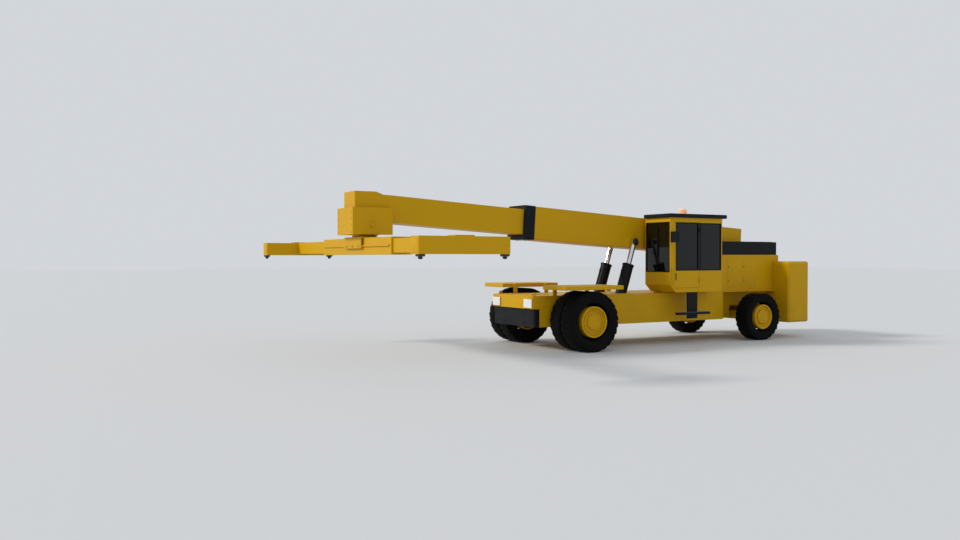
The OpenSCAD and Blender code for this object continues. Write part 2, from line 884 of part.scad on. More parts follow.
module side_mirror() {
  x = cab_front - 20;
  color(dark) at_axle() {
    bar_y(mirror_r, x, mirror_z + mirror_h / 2, cab_out, cab_out + mirror_gap + 10);
    box([x + mirror_t / 2, cab_out + mirror_gap, mirror_z],
      [x - mirror_t / 2, cab_out + mirror_gap + mirror_w, mirror_z + mirror_h]);
  }
}

module beacon() {
  color(amber) at_axle() translate([cab_front - beacon_back, cab_out - beacon_in, cab_top + roof_t]) {
    cylinder(r = beacon_r, h = beacon_h, $fn = round_facets);
    translate([0, 0, beacon_h]) cylinder(r1 = beacon_r, r2 = beacon_r - 25, h = 35, $fn = round_facets);
  }
}

// hanger under the cab with one wide tread
module step() {
  hanger_y = cab_out - hanger_in;
  color(dark) at_axle() {
    translate([cab_front - hanger_back - hanger_w, hanger_y, hanger_low])
      cube([hanger_w, hanger_t, cab_low - hanger_low]);
    translate([cab_front - tread_back - tread_len, hanger_y + hanger_t, tread_z])
      cube([tread_len, tread_w, tread_t]);
  }
}

// box section of the boom, hollow from its mouth to behind the pivot's pin
module boom_outer() {
  w = outer_wall;
  color(yellow) at_axle() {
    on_boom() difference() {
      run_x(-outer_tail, outer_len)
        cut_rect(-outer_half, -outer_low, outer_half, outer_high, 25);
      run_x(outer_foot, outer_len + 1)
        cut_rect(-outer_half + w, -outer_low + w, outer_half - w, outer_high - w, 20);
    }
    for (s = [-1, 1]) {
      side(s) bar_y(150, eye_x, eye_z, outer_half - w / 2, lift_y - eye_half - fit);
    }
  }
  color(steel) at_axle() bar_y(pivot_r, pivot_x, pivot_z, -tower_in - tower_t, tower_in + tower_t);
}

// thick collar at the mouth, with the pads that the inner boom slides on
module boom_collar() {
  c = collar_out;
  color(dark) at_axle() on_boom() difference() {
    run_x(outer_len, collar_end)
      cut_rect(-outer_half - c, -outer_low - c, outer_half + c, outer_high + c, 30);
    run_x(outer_len - 1, outer_len + 250)
      polygon([[-inner_half - 60, -inner_low - 60], [inner_half + 60, -inner_low - 60],
        [inner_half + 60, inner_high + 60], [-inner_half - 60, inner_high + 60]]);
    run_x(outer_len + 249, collar_end + 1)
      polygon([[-inner_half - fit, -inner_low - fit], [inner_half + fit, -inner_low - fit],
        [inner_half + fit, inner_high + fit], [-inner_half - fit, inner_high + fit]]);
  }
}

// place in the side view of a point given in the boom's own frame
function boom_xz(x, z) = [pivot_x + x * cos(boom_angle) - z * sin(boom_angle),
  pivot_z + x * sin(boom_angle) + z * cos(boom_angle)];

// side view of the boom's nose, round the pin of the level head
module nose_outline() {
  top = head_high + nose_rise;
  foot = head_pin_z + nose_foot;
  back = spreader_x - nose_back;
  hull() {
    translate([spreader_x, head_pin_z]) circle(r = lug_r, $fn = hull_facets);
    translate([back, foot]) square([nose_back + nose_len, 100]);
  }
  polygon([[back, foot], [nose_front, foot], [nose_front, top], [back, top],
    [back - 190, top - 65], [back - 190, foot]]);
  polygon([boom_xz(inner_front - 40, inner_high), [back - 110, top - 75], [back + 40, foot],
    [spreader_x - lug_r, head_pin_z + 60], boom_xz(inner_front - 40, -inner_low + 40)]);
}

module boom_inner() {
  w = inner_wall;
  color(yellow) at_axle() difference() {
    union() {
      on_boom() {
        difference() {
          run_x(inner_rear, inner_front)
            cut_rect(-inner_half, -inner_low, inner_half, inner_high, 15);
          run_x(inner_rear - 1, inner_front - 300)
            cut_rect(-inner_half + w, -inner_low + w, inner_half - w, inner_high - w, 15);
        }
      }
      plate_y(-inner_half, inner_half) nose_outline();
    }
    bar_y(head_pin_r + fit, spreader_x, head_pin_z, -far, far);
  }
}

// level head: two cheeks, front plate, floor and the outer race of the turning ring
module head() {
  rear = spreader_x - head_back;
  front = rear + head_len;
  cheek = inner_half + cheek_gap;
  color(yellow) at_axle() {
    for (s = [-1, 1]) {
      side(s) box([rear, cheek, head_low], [front, head_half, head_high]);
    }
    box([front - head_t, -cheek, head_low], [front, cheek, head_high]);
    box([spreader_x - 240, -cheek, head_low], [front - head_t, cheek, head_pin_z - lug_r - 35]);
    translate([spreader_x, 0, beam_top + ring_h]) difference() {
      cylinder(r = ring_r, h = head_low - beam_top - ring_h, $fn = round_facets);
      translate([0, 0, -1]) cylinder(r = ring_r - ring_w + race_gap, h = far, $fn = round_facets);
    }
  }
  color(steel) at_axle() bar_y(head_pin_r, spreader_x, head_pin_z, -head_half - 15, head_half + 15);
}

// inner race, top plate and the cheeks whose lips carry the beam by its rails
module carriage() {
  top = beam_top + carriage_top;
  color(dark) at_axle() {
    translate([spreader_x, 0, beam_top + fit]) {
      cylinder(r = ring_r, h = ring_h - 2 * fit, $fn = round_facets);
      cylinder(r = ring_r - ring_w, h = head_low - beam_top - 2 * fit, $fn = round_facets);
    }
    box([spreader_x - carriage_out, -carriage_half, beam_top + fit],
      [spreader_x + carriage_out, carriage_half, top]);
    for (d = [-1, 1]) {
      box([spreader_x + d * (beam_half + rail_out + fit), -carriage_half, rail_z - 50],
        [spreader_x + d * carriage_out, carriage_half, top]);
      box([spreader_x + d * (beam_half + fit), -carriage_half, rail_z - 50],
        [spreader_x + d * carriage_out, carriage_half, rail_z - fit]);
    }
  }
}

// front to back, the beam has four lanes: the left arm's tubes run in the second and
// the fourth, the right arm's in the first and the third, and so they pass each other
module tubes(s, y0, y1, play) {
  for (lane = s > 0 ? [1, 3] : [0, 2]) {
    x = spreader_x - arm_half + lane * (lane_w + lane_gap);
    side(s) box([x - play, y0, arm_low - play], [x + lane_w + play, y1, arm_top + play]);
  }
}

// hollow middle beam, with its side rails and the guides at its two mouths
module spreader_beam() {
  w = beam_wall;
  color(yellow) at_axle() difference() {
    union() {
      box([spreader_x - beam_half, -beam_len, spreader_z], [spreader_x + beam_half, beam_len, beam_top]);
      for (d = [-1, 1]) {
        box([spreader_x + d * beam_half, -beam_len + 100, rail_z],
          [spreader_x + d * (beam_half + rail_out), beam_len - 100, rail_z + rail_t]);
      }
    }
    box([spreader_x - beam_half + w, -beam_len + guide_d, spreader_z + w],
      [spreader_x + beam_half - w, beam_len - guide_d, beam_top - w]);
    for (s = [-1, 1]) {
      tubes(s, beam_len - guide_d - 1, beam_len + 1, fit);
    }
  }
}

// two tubes that slide in the beam, and the cross member with its two lock housings
module spreader_arm(s) {
  color(yellow) at_axle() {
    tubes(s, beam_len - arm_hidden, cross_in + 10, 0);
    side(s) difference() {
      union() {
        box([spreader_x - cross_half, cross_in, spreader_z],
          [spreader_x + cross_half, cross_out, spreader_z + cross_h]);
        box([spreader_x - arm_half, cross_in, spreader_z + cross_h],
          [spreader_x + arm_half, cross_out - 40, spreader_z + cross_h + 30]);
      }
      for (d = [-1, 1]) {
        translate([spreader_x + d * lock_wide / 2, lock_long / 2, spreader_z - 1])
          cylinder(r = lock_r + fit, h = 141, $fn = round_facets);
      }
    }
  }
}

module spreader_arm_left() {
  spreader_arm(1);
}

module spreader_arm_right() {
  spreader_arm(-1);
}

// round shank with the pointed cross head that turns in a box's corner
module twistlocks(s) {
  color(steel) at_axle() side(s) for (d = [-1, 1]) {
    translate([spreader_x + d * lock_wide / 2, lock_long / 2, spreader_z]) {
      translate([0, 0, -60]) cylinder(r = lock_r, h = 199, $fn = round_facets);
      plate_y(-30, 30) polygon([[-52, -60], [52, -60], [52, -85], [25, -120], [-25, -120], [-52, -85]]);
    }
  }
}

module twistlocks_left() {
  twistlocks(1);
}

module twistlocks_right() {
  twistlocks(-1);
}

// the lift cylinder's own frame: Z from its base pin towards the rod's eye
module on_lift(s) {
  at_axle() side(s) translate([base_x, lift_y, base_z]) rotate([0, -lift_lean, 0]) children();
}

module eye(r, z, half) {
  translate([0, half, z]) rotate([90, 0, 0]) cylinder(r = r, h = 2 * half, $fn = round_facets);
}

// tube from z0 to z1: closed foot with a piston ring, and a gland at its mouth
module sleeve(r, wall, z0, z1, ring_out, mouth) {
  difference() {
    union() {
      translate([0, 0, z0]) cylinder(r = r, h = z1 - z0, $fn = round_facets);
      translate([0, 0, z0]) cylinder(r = ring_out, h = gland, $fn = round_facets);
    }
    translate([0, 0, z0 + cap_t]) cylinder(r = r - wall, h = z1 - z0 - cap_t - gland, $fn = round_facets);
    translate([0, 0, z0 + cap_t]) cylinder(r = mouth, h = z1 - z0, $fn = round_facets);
  }
}

module lift_barrel(s) {
  color(dark) on_lift(s) difference() {
    union() {
      sleeve(barrel_r, barrel_wall, barrel_floor - cap_t, barrel_len, barrel_r, sleeve_r + fit);
      eye(110, 0, 120);
    }
    eye(lift_pin_r + fit, 0, 200);
  }
}

module lift_barrel_left() {
  lift_barrel(1);
}

module lift_barrel_right() {
  lift_barrel(-1);
}

module lift_sleeve(s) {
  color(steel) on_lift(s)
    sleeve(sleeve_r, tube_wall, sleeve_low, sleeve_top, barrel_r - barrel_wall - fit, stage_r + fit);
}

module lift_sleeve_left() {
  lift_sleeve(1);
}

module lift_sleeve_right() {
  lift_sleeve(-1);
}

module lift_stage(s) {
  color(steel) on_lift(s)
    sleeve(stage_r, tube_wall, stage_low, stage_top, sleeve_r - tube_wall - fit, rod_r + fit);
}

module lift_stage_left() {
  lift_stage(1);
}

module lift_stage_right() {
  lift_stage(-1);
}

module lift_rod(s) {
  color(steel) on_lift(s) {
    translate([0, 0, rod_low]) cylinder(r = rod_r, h = lift_len - rod_low, $fn = round_facets);
    translate([0, 0, rod_low]) cylinder(r = stage_r - tube_wall - fit, h = gland, $fn = round_facets);
    eye(130, lift_len, eye_half);
  }
}

module lift_rod_left() {
  lift_rod(1);
}

module lift_rod_right() {
  lift_rod(-1);
}

// half section of a tyre of width w, turned about the axle, from y = 0 outwards
module tyre(r_out, r_in, w) {
  rotate([-90, 0, 0]) rotate_extrude($fn = wheel_facets) polygon([[r_in + fit, 0], [r_out - 90, 0],
    [r_out - 15, 45], [r_out, 110], [r_out, w - 110], [r_out - 15, w - 45],
    [r_out - 90, w], [r_in + fit, w]]);
}

// rim of width w: barrel, middle disc and hub cap
module rim(r, w) {
  disc = w - disc_in;
  rotate([-90, 0, 0]) rotate_extrude($fn = wheel_facets) polygon([[r - rim_wall, 0], [r, 0], [r, w],
    [r - rim_wall, w], [r - rim_wall - 30, disc], [hub_r + 20, disc], [hub_r, disc + 50],
    [0, disc + 50], [0, disc - disc_t], [r - rim_wall, disc - disc_t]]);
}

module tyres_front(s) {
  color(rubber) at_axle() side(s) {
    for (y = [front_half - front_tyre_w, front_half - 2 * front_tyre_w - twin_gap]) {
      translate([0, y, front_tyre_r]) tyre(front_tyre_r, front_rim_r, front_tyre_w);
    }
  }
}

module tyres_front_left() {
  tyres_front(1);
}

module tyres_front_right() {
  tyres_front(-1);
}

module rim_front(s) {
  w = 2 * front_tyre_w + twin_gap;
  color(yellow) at_axle() side(s) translate([0, front_half - w, front_tyre_r]) rim(front_rim_r, w);
}

module rim_front_left() {
  rim_front(1);
}

module rim_front_right() {
  rim_front(-1);
}

module tyre_rear(s) {
  color(rubber) at_axle() side(s) translate([rear_x, rear_half - rear_tyre_w, rear_tyre_r])
    tyre(rear_tyre_r, rear_rim_r, rear_tyre_w);
}

module tyre_rear_left() {
  tyre_rear(1);
}

module tyre_rear_right() {
  tyre_rear(-1);
}

module rim_rear(s) {
  color(yellow) at_axle() side(s) translate([rear_x, rear_half - rear_tyre_w, rear_tyre_r])
    rim(rear_rim_r, rear_tyre_w);
}

module rim_rear_left() {
  rim_rear(1);
}

module rim_rear_right() {
  rim_rear(-1);
}

chassis();
boom_towers();
bumper();
headlights();
tail_lamps();
front_axle();
rear_axle();
knuckle_left();
knuckle_right();
fender_left();
fender_right();
hood();
air_box();
engine();
counterweight();
cab_shell();
cab_roof();
cab_glass();
cab_door();
door_glass();
cab_interior();
side_mirror();
beacon();
step();
boom_outer();
boom_collar();
boom_inner();
head();
carriage();
spreader_beam();
spreader_arm_left();
spreader_arm_right();
twistlocks_left();
twistlocks_right();
lift_barrel_left();
lift_barrel_right();
lift_sleeve_left();
lift_sleeve_right();
lift_stage_left();
lift_stage_right();
lift_rod_left();
lift_rod_right();
tyres_front_left();
tyres_front_right();
rim_front_left();
rim_front_right();
tyre_rear_left();
tyre_rear_right();
rim_rear_left();
rim_rear_right();
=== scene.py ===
# %% [markdown]
# # A reach stacker
#
# A reach stacker is the big wheeled lifting machine of a port. A telescopic boom lies over its
# deck, and a spreader hangs level from the boom's tip and grips the load by its corners.
# The solids come from CAD, so their sizes and places are settled. This lesson dresses them:
# it rounds the plate edges, models tyres, nuts, seals, lamps and the driver's place, and
# gives each surface a finish that holds up when the camera comes close.

# %% Load the frame
import json
import math
import random
from contextlib import contextmanager

import bpy
from mathutils import Matrix, Vector
from mathutils.bvhtree import BVHTree


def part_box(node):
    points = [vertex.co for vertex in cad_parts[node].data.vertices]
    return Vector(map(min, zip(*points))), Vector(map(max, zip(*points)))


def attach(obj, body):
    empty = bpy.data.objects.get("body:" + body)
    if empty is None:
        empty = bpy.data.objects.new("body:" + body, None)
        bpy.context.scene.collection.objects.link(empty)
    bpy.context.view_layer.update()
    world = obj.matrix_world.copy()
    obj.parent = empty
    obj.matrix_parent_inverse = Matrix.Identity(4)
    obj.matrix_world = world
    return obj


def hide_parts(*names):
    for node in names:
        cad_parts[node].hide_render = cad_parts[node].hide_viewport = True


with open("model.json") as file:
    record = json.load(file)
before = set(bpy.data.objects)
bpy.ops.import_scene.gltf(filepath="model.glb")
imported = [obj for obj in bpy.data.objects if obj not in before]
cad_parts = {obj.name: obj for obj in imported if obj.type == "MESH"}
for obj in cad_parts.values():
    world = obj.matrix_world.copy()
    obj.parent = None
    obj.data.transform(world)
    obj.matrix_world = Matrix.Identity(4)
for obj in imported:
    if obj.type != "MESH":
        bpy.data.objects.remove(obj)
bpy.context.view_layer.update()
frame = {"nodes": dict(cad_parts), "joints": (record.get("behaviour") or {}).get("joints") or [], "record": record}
bodies = frame["record"]["behaviour"]["bodies"]
body_of = {node: body for body, members in bodies.items() for node in members}
slot_of = {part["node"]: part["material_slot"] for part in frame["record"]["subparts"]}

# %% [markdown]
# ## The camera
#
# The photograph was taken from the machine's front left, from 2.9 m up and almost level. A
# normal lens of 33 mm on a 36 mm sensor gives the same perspective. The camera looks along a
# fixed direction, so it is set by its turn angles and not by a target, and the picture then
# lines up with the photograph.

# %% Camera
LENS = 33.04
EYE = (17.84, 24.02, 2.92)
PITCH_DOWN = 0.81
HEADING = 150.0

bpy.ops.object.select_all(action="DESELECT")
bpy.ops.object.camera_add(
    location=EYE, rotation=(math.radians(90 - PITCH_DOWN), 0, math.radians(HEADING)))
camera = bpy.context.object
camera.name = "camera"
camera.data.lens = LENS
camera.data.sensor_width = 36.0
camera.data.clip_end = 500.0
bpy.context.scene.camera = camera
print("camera at", EYE)

# %% [markdown]
# ## Small helpers
#
# Operators act on whatever is selected. These helpers keep that tidy: one selects a single
# piece, one bakes a piece's place into its mesh, and one applies a bevel, because no real
# plate has a razor edge. A bevel also gives the thin highlight that shows an edge.

# %% Helpers for selecting, placing and finishing
def alone(piece):
    """Select this piece and nothing else."""
    bpy.ops.object.select_all(action="DESELECT")
    piece.select_set(True)
    bpy.context.view_layer.objects.active = piece


@contextmanager
def editing(piece):
    """Edit a whole piece, then go back to object mode."""
    alone(piece)
    bpy.ops.object.mode_set(mode="EDIT")
    bpy.ops.mesh.select_all(action="SELECT")
    yield
    bpy.ops.object.mode_set(mode="OBJECT")


def settle(piece, name):
    """Name a piece and put its place, turn and scale into its mesh."""
    piece.name = name
    piece.data.name = name
    alone(piece)
    bpy.ops.object.transform_apply(location=True, rotation=True, scale=True)
    return piece


def apply(piece, kind, **settings):
    """Add one modifier, set it and apply it."""
    modifier = piece.modifiers.new(kind.lower(), kind)
    for key, value in settings.items():
        setattr(modifier, key, value)
    alone(piece)
    bpy.ops.object.modifier_apply(modifier=modifier.name)


def shade(piece, degrees):
    """Shade smooth over edges that turn by less than an angle."""
    alone(piece)
    bpy.ops.object.shade_smooth_by_angle(angle=math.radians(degrees))


def rounded(piece, width, segments=2, angle=30):
    """Bevel the edges that turn by more than an angle, and shade the faces."""
    apply(piece, "BEVEL", width=width, segments=segments, limit_method="ANGLE",
          angle_limit=math.radians(angle))
    shade(piece, 20)
    return piece


def block(name, low, high):
    """A box between two corners."""
    centre = [(a + b) / 2 for a, b in zip(low, high)]
    bpy.ops.mesh.primitive_cube_add(size=1, location=centre)
    piece = bpy.context.object
    piece.scale = [abs(b - a) for a, b in zip(low, high)]
    return settle(piece, name)


def rod(name, centre, radius, length, axis="Z", sides=48):
    """A round bar, its middle at centre, along an axis."""
    turn = {"X": (0, math.pi / 2, 0), "Y": (math.pi / 2, 0, 0), "Z": (0, 0, 0)}[axis]
    bpy.ops.mesh.primitive_cylinder_add(
        vertices=sides, radius=radius, depth=length, location=centre, rotation=turn)
    return settle(bpy.context.object, name)


def slab(low, high, width, segments=2):
    """A box between two corners, its edges rounded."""
    return rounded(block("slab", low, high), width, segments)


def twin(piece, matrix=Matrix()):
    """A copy of a piece with its own mesh, moved by a matrix."""
    other = piece.copy()
    other.data = piece.data.copy()
    bpy.context.scene.collection.objects.link(other)
    other.data.transform(matrix)
    if matrix.is_negative:
        other.data.flip_normals()
    return other


def shift_by(piece, place):
    """Move a piece's mesh."""
    piece.data.transform(Matrix.Translation(place))


def turn_by(piece, degrees, axis):
    """Turn a piece's mesh round an axis through the origin."""
    piece.data.transform(Matrix.Rotation(math.radians(degrees), 4, axis))


def joined(pieces, name):
    """Several pieces made one mesh."""
    bpy.ops.object.select_all(action="DESELECT")
    for piece in pieces:
        piece.select_set(True)
    bpy.context.view_layer.objects.active = pieces[0]
    if len(pieces) > 1:
        bpy.ops.object.join()
    return settle(pieces[0], name)


def finish_piece(piece, body, slot, material=None):
    """Give a piece its body, its record slot and the slot's finish, or another."""
    piece.data.materials.clear()
    piece.data.materials.append(material or finishes[slot])
    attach(piece, body)


def copies(piece, matrices, name):
    """Copies of a piece, one at each matrix, made one mesh. The first one goes."""
    made = [twin(piece, matrix) for matrix in matrices]
    bpy.data.objects.remove(piece)
    return joined(made, name)


SIDES = (("left", 1), ("right", -1))
X, Y, Z = range(3)

# %% [markdown]
# ## Shared shader effects
#
# Three effects return in most finishes, so each is a node group with named inputs, built
# once. Grain is a fine bump, such as sprayed paint or cast metal has. Grime darkens and
# dulls a colour in soft patches, and more so near the ground, where wheels throw dust up.
# Scuffs are small bright scratches where hands, boots and ropes rub. All of them read
# Object coordinates, so the pattern stays fixed to the metal.

# %% Group building blocks
def new_group(name, inputs, outputs):
    """A shader group with named sockets, and its input and output nodes."""
    group = bpy.data.node_groups.new(name, "ShaderNodeTree")
    for label, value in inputs.items():
        kind = "Color" if isinstance(value, tuple) else "Float"
        socket = group.interface.new_socket(label, in_out="INPUT", socket_type="NodeSocket" + kind)
        socket.default_value = value
    for label, kind in outputs.items():
        group.interface.new_socket(label, in_out="OUTPUT", socket_type="NodeSocket" + kind)
    return group, group.nodes.new("NodeGroupInput"), group.nodes.new("NodeGroupOutput")


def configure(made, **settings):
    """Set a node by name: its inputs, where an underscore stands for a space, or its settings."""
    for key, value in settings.items():
        label = key.replace("_", " ")
        if label in made.inputs:
            made.inputs[label].default_value = value
        else:
            setattr(made, key, value)
    return made


def node(tree, kind, **settings):
    """One new node with its settings."""
    return configure(tree.nodes.new("ShaderNode" + kind), **settings)


def wire(tree, *links):
    """Links, each from a node's output to another node's input."""
    for source, output, target, entry in links:
        tree.links.new(source.outputs[output], target.inputs[entry])


def ramp(tree, source, stops):
    """A colour ramp fed by a node's Fac, with (place, grey) stops."""
    made = node(tree, "ValToRGB")
    for element, (place, grey) in zip(made.color_ramp.elements, stops):
        element.position = place
        element.color = (grey, grey, grey, 1)
    wire(tree, (source, "Fac", made, "Fac"))
    return made.outputs["Color"]


def chained(tree, operation, *terms):
    """Clamped Math nodes in a row, whose terms are sockets or numbers."""
    result = terms[0]
    for term in terms[1:]:
        made = node(tree, "Math", operation=operation, use_clamp=True)
        tree.links.new(result, made.inputs[0])
        if isinstance(term, float):
            made.inputs[1].default_value = term
        else:
            tree.links.new(term, made.inputs[1])
        result = made.outputs[0]
    return result


# %% Grain: a fine bump
grain, group_in, group_out = new_group(
    "grain", {"Scale": 200.0, "Strength": 0.1, "Depth": 0.001}, {"Normal": "Vector"})
place = node(grain, "TexCoord")
noise = node(grain, "TexNoise", Detail=4.0)
ends = node(grain, "Bump")
wire(grain,
     (place, "Object", noise, "Vector"),
     (group_in, "Scale", noise, "Scale"),
     (group_in, "Strength", ends, "Strength"),
     (group_in, "Depth", ends, "Distance"),
     (noise, "Fac", ends, "Height"),
     (ends, "Normal", group_out, "Normal"))

# %% Grime: dirt in patches, more of it low down
grime, group_in, group_out = new_group(
    "grime",
    {"Color": (0.8, 0.8, 0.8, 1), "Dirt": (0.09, 0.075, 0.06, 1), "Amount": 0.5, "Scale": 1.4,
     "Top": 2.0, "Clean Roughness": 0.35, "Dirty Roughness": 0.8},
    {"Color": "Color", "Roughness": "Float"})
place = node(grime, "TexCoord")
apart = node(grime, "SeparateXYZ")
patches = node(grime, "TexNoise", Detail=8.0, Roughness=0.65)
specks = node(grime, "TexNoise", Scale=38.0, Detail=5.0, Roughness=0.7)
low = node(grime, "MapRange", To_Min=1.0, To_Max=0.0)
blend = node(grime, "Mix", data_type="RGBA")
rough = node(grime, "MapRange")
wire(grime,
     (place, "Object", apart, "Vector"),
     (place, "Object", patches, "Vector"),
     (place, "Object", specks, "Vector"),
     (group_in, "Scale", patches, "Scale"),
     (apart, "Z", low, "Value"),
     (group_in, "Top", low, "From Max"),
     (group_in, "Color", blend, "A"),
     (group_in, "Dirt", blend, "B"),
     (blend, "Result", group_out, "Color"),
     (group_in, "Clean Roughness", rough, "To Min"),
     (group_in, "Dirty Roughness", rough, "To Max"),
     (rough, "Result", group_out, "Roughness"))
soft = ramp(grime, patches, ((0.36, 0.0), (0.78, 1.0)))
fine = ramp(grime, specks, ((0.45, 0.55), (0.7, 1.0)))
cover = chained(grime, "ADD", chained(grime, "MULTIPLY", low.outputs["Result"], 0.55), 0.18)
mask = chained(grime, "MULTIPLY", soft, fine, cover, group_in.outputs["Amount"])
grime.links.new(mask, blend.inputs["Factor"])
grime.links.new(mask, rough.inputs["Value"])

# %% Scuffs: thin scratches through the paint
scuffs, group_in, group_out = new_group(
    "scuffs",
    {"Color": (0.8, 0.8, 0.8, 1), "Bare": (0.3, 0.28, 0.26, 1), "Amount": 0.4, "Scale": 3.0},
    {"Color": "Color"})
place = node(scuffs, "TexCoord")
where = node(scuffs, "TexNoise", Detail=3.0)
longer = node(scuffs, "Mapping", Scale=(0.5, 1.0, 3.5))
lines = node(scuffs, "TexNoise", Scale=1.0, Detail=9.0, Roughness=0.85, Distortion=1.6)
blend = node(scuffs, "Mix", data_type="RGBA")
wire(scuffs,
     (place, "Object", where, "Vector"),
     (place, "Object", longer, "Vector"),
     (longer, "Vector", lines, "Vector"),
     (group_in, "Scale", where, "Scale"),
     (group_in, "Color", blend, "A"),
     (group_in, "Bare", blend, "B"),
     (blend, "Result", group_out, "Color"))
worn = ramp(scuffs, where, ((0.52, 0.0), (0.68, 1.0)))
thin = ramp(scuffs, lines, ((0.62, 0.0), (0.67, 1.0)))
mask = chained(scuffs, "MULTIPLY", worn, thin, group_in.outputs["Amount"])
scuffs.links.new(mask, blend.inputs["Factor"])
print("groups", grain.name, grime.name, scuffs.name)

# %% [markdown]
# ## Finishes
#
# Most of the machine wears the same golden yellow enamel. The rest is near-black satin
# paint, rubber, hard chrome on the cylinder rods, bare worked steel, tinted glass, lamp
# lenses, plastic and cloth. Numbers that are the same all over a surface sit on the
# shader's own sockets, and the groups only feed what varies.

# %% A finish from the shared groups
def new_material(name):
    """A material, with its node tree and its Principled shader."""
    material = bpy.data.materials.new(name)
    material.use_nodes = True
    return material, material.node_tree, material.node_tree.nodes["Principled BSDF"]


def finish(name, colour, roughness, dirty=0.75, dirt=0.5, scuff=0.0, bump=0.08, bump_scale=260.0,
           bump_depth=0.0006, dirt_colour=(0.09, 0.075, 0.06), dirt_top=2.6,
           scuff_colour=(0.3, 0.28, 0.26), **sockets):
    """A Principled material: grime and scuffs colour it, and grain roughens it."""
    material, tree, shader = new_material(name)
    dirty_part = node(tree, "Group", node_tree=grime, Dirt=(*dirt_colour, 1), Amount=dirt, Top=dirt_top,
                      Clean_Roughness=roughness, Dirty_Roughness=dirty)
    worn_part = node(tree, "Group", node_tree=scuffs, Color=(*colour, 1), Bare=(*scuff_colour, 1),
                     Amount=scuff)
    rough_part = node(tree, "Group", node_tree=grain, Scale=bump_scale, Strength=bump, Depth=bump_depth)
    wire(tree,
         (worn_part, "Color", dirty_part, "Color"),
         (dirty_part, "Color", shader, "Base Color"),
         (dirty_part, "Roughness", shader, "Roughness"),
         (rough_part, "Normal", shader, "Normal"))
    configure(shader, **sockets)
    return material


# %% The machine's finishes
YELLOW = (0.6, 0.335, 0.002)
BLACK = (0.004, 0.006, 0.0085)

finishes = {
    "yellow_paint": finish("yellow enamel", YELLOW, 0.42, dirt=0.45, scuff=0.45,
                           dirt_colour=(0.07, 0.05, 0.03), Specular_IOR_Level=0.12),
    "dark_paint": finish("black satin paint", BLACK, 0.45, dirt=0.35, scuff=0.25,
                         dirt_colour=(0.06, 0.052, 0.045), scuff_colour=(0.1, 0.095, 0.09),
                         Specular_IOR_Level=0.14),
    "tyre": finish("tyre rubber", (0.0035, 0.0038, 0.0042), 0.7, dirty=0.95, dirt=0.3, bump=0.25,
                   bump_scale=120.0, bump_depth=0.002, dirt_colour=(0.05, 0.043, 0.036), dirt_top=1.9,
                   Specular_IOR_Level=0.06),
    "chrome": finish("hard chrome", (0.72, 0.74, 0.78), 0.12, dirty=0.4, dirt=0.25, bump=0.02,
                     bump_scale=600.0, Metallic=1.0),
    "steel": finish("dark forged steel", (0.055, 0.053, 0.052), 0.5, dirt=0.5, scuff=0.6, bump=0.2,
                    bump_depth=0.001, Metallic=0.8),
    "bright_steel": finish("worn bright steel", (0.33, 0.32, 0.31), 0.42, dirt=0.5, scuff=0.5, bump=0.15,
                           Metallic=0.9),
    "lamp_white": finish("clear lens", (0.92, 0.92, 0.89), 0.12, dirt=0.15, bump=0.03, Coat_Weight=0.6),
    "lamp_red": finish("red lens", (0.45, 0.02, 0.015), 0.15, dirt=0.2, bump=0.03, Coat_Weight=0.6),
    "lamp_amber": finish("amber lens", (0.95, 0.55, 0.35), 0.2, dirt=0.1, bump=0.03, Coat_Weight=0.5,
                         Emission_Color=(1.0, 0.42, 0.22, 1), Emission_Strength=0.25),
    "cast_iron": finish("grey iron", (0.13, 0.135, 0.14), 0.6, dirt=0.9, bump=0.5, bump_scale=90.0,
                        bump_depth=0.002),
    "interior": finish("black plastic", (0.03, 0.03, 0.033), 0.55, dirt=0.2, bump=0.35,
                       bump_scale=420.0, bump_depth=0.0008),
}

TINT = (0.007, 0.008, 0.007, 1)
finishes["glass"], tree, pane = new_material("tinted glass")
configure(pane, Base_Color=TINT, Transmission_Weight=0.6, Specular_IOR_Level=0.25, IOR=1.45)
smears = node(tree, "Group", node_tree=grime, Color=TINT, Clean_Roughness=0.02, Dirty_Roughness=0.3)
wire(tree, (smears, "Roughness", pane, "Roughness"))
print(len(finishes), "finishes")

# %% [markdown]
# ## Plates with rounded edges
#
# The CAD nodes already have the right form. A welded plate still has a small radius along
# each edge, and it is this radius that catches the light. So each plate-built node gets a
# copy: its loose triangles are merged into clean faces, its edges are bevelled, its normals
# are weighted by area so that flat plates shade flat, and the copy stands for the node.
# Round parts, such as rods and rims, only get their finish. The carriage is repainted
# yellow, as the photograph shows it.

# %% Bevelled copies of the plate-built nodes
EDGE = {
    "chassis": 0.014, "boom_towers": 0.01, "bumper": 0.02, "fender": 0.02, "hood": 0.025, "air_box": 0.015,
    "counterweight": 0.03, "cab_shell": 0.009, "cab_roof": 0.025, "cab_door": 0.006, "step": 0.01,
    "side_mirror": 0.02, "boom_outer": 0.008, "boom_collar": 0.006, "boom_inner": 0.01, "head": 0.014,
    "carriage": 0.005, "spreader_beam": 0.01, "spreader_arm": 0.014, "rear_axle": 0.01,
    "front_axle": 0.006, "engine": 0.02, "twistlocks": 0.006, "headlights": 0.008, "tail_lamps": 0.008,
    "cab_interior": 0.012,
}


def plate_copy(name, width):
    """A merged, bevelled copy that stands for a CAD node."""
    piece = twin(frame["nodes"][name])
    for key in list(piece.keys()):
        del piece[key]
    piece.parent = None
    piece.name = name + "_plates"
    with editing(piece):
        bpy.ops.mesh.remove_doubles(threshold=0.00005)
        bpy.ops.mesh.dissolve_limited(angle_limit=math.radians(0.5))
    rounded(piece, width)
    apply(piece, "WEIGHTED_NORMAL", keep_sharp=True)
    finish_piece(piece, body_of[name], "yellow_paint" if name == "carriage" else slot_of[name])
    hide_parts(name)


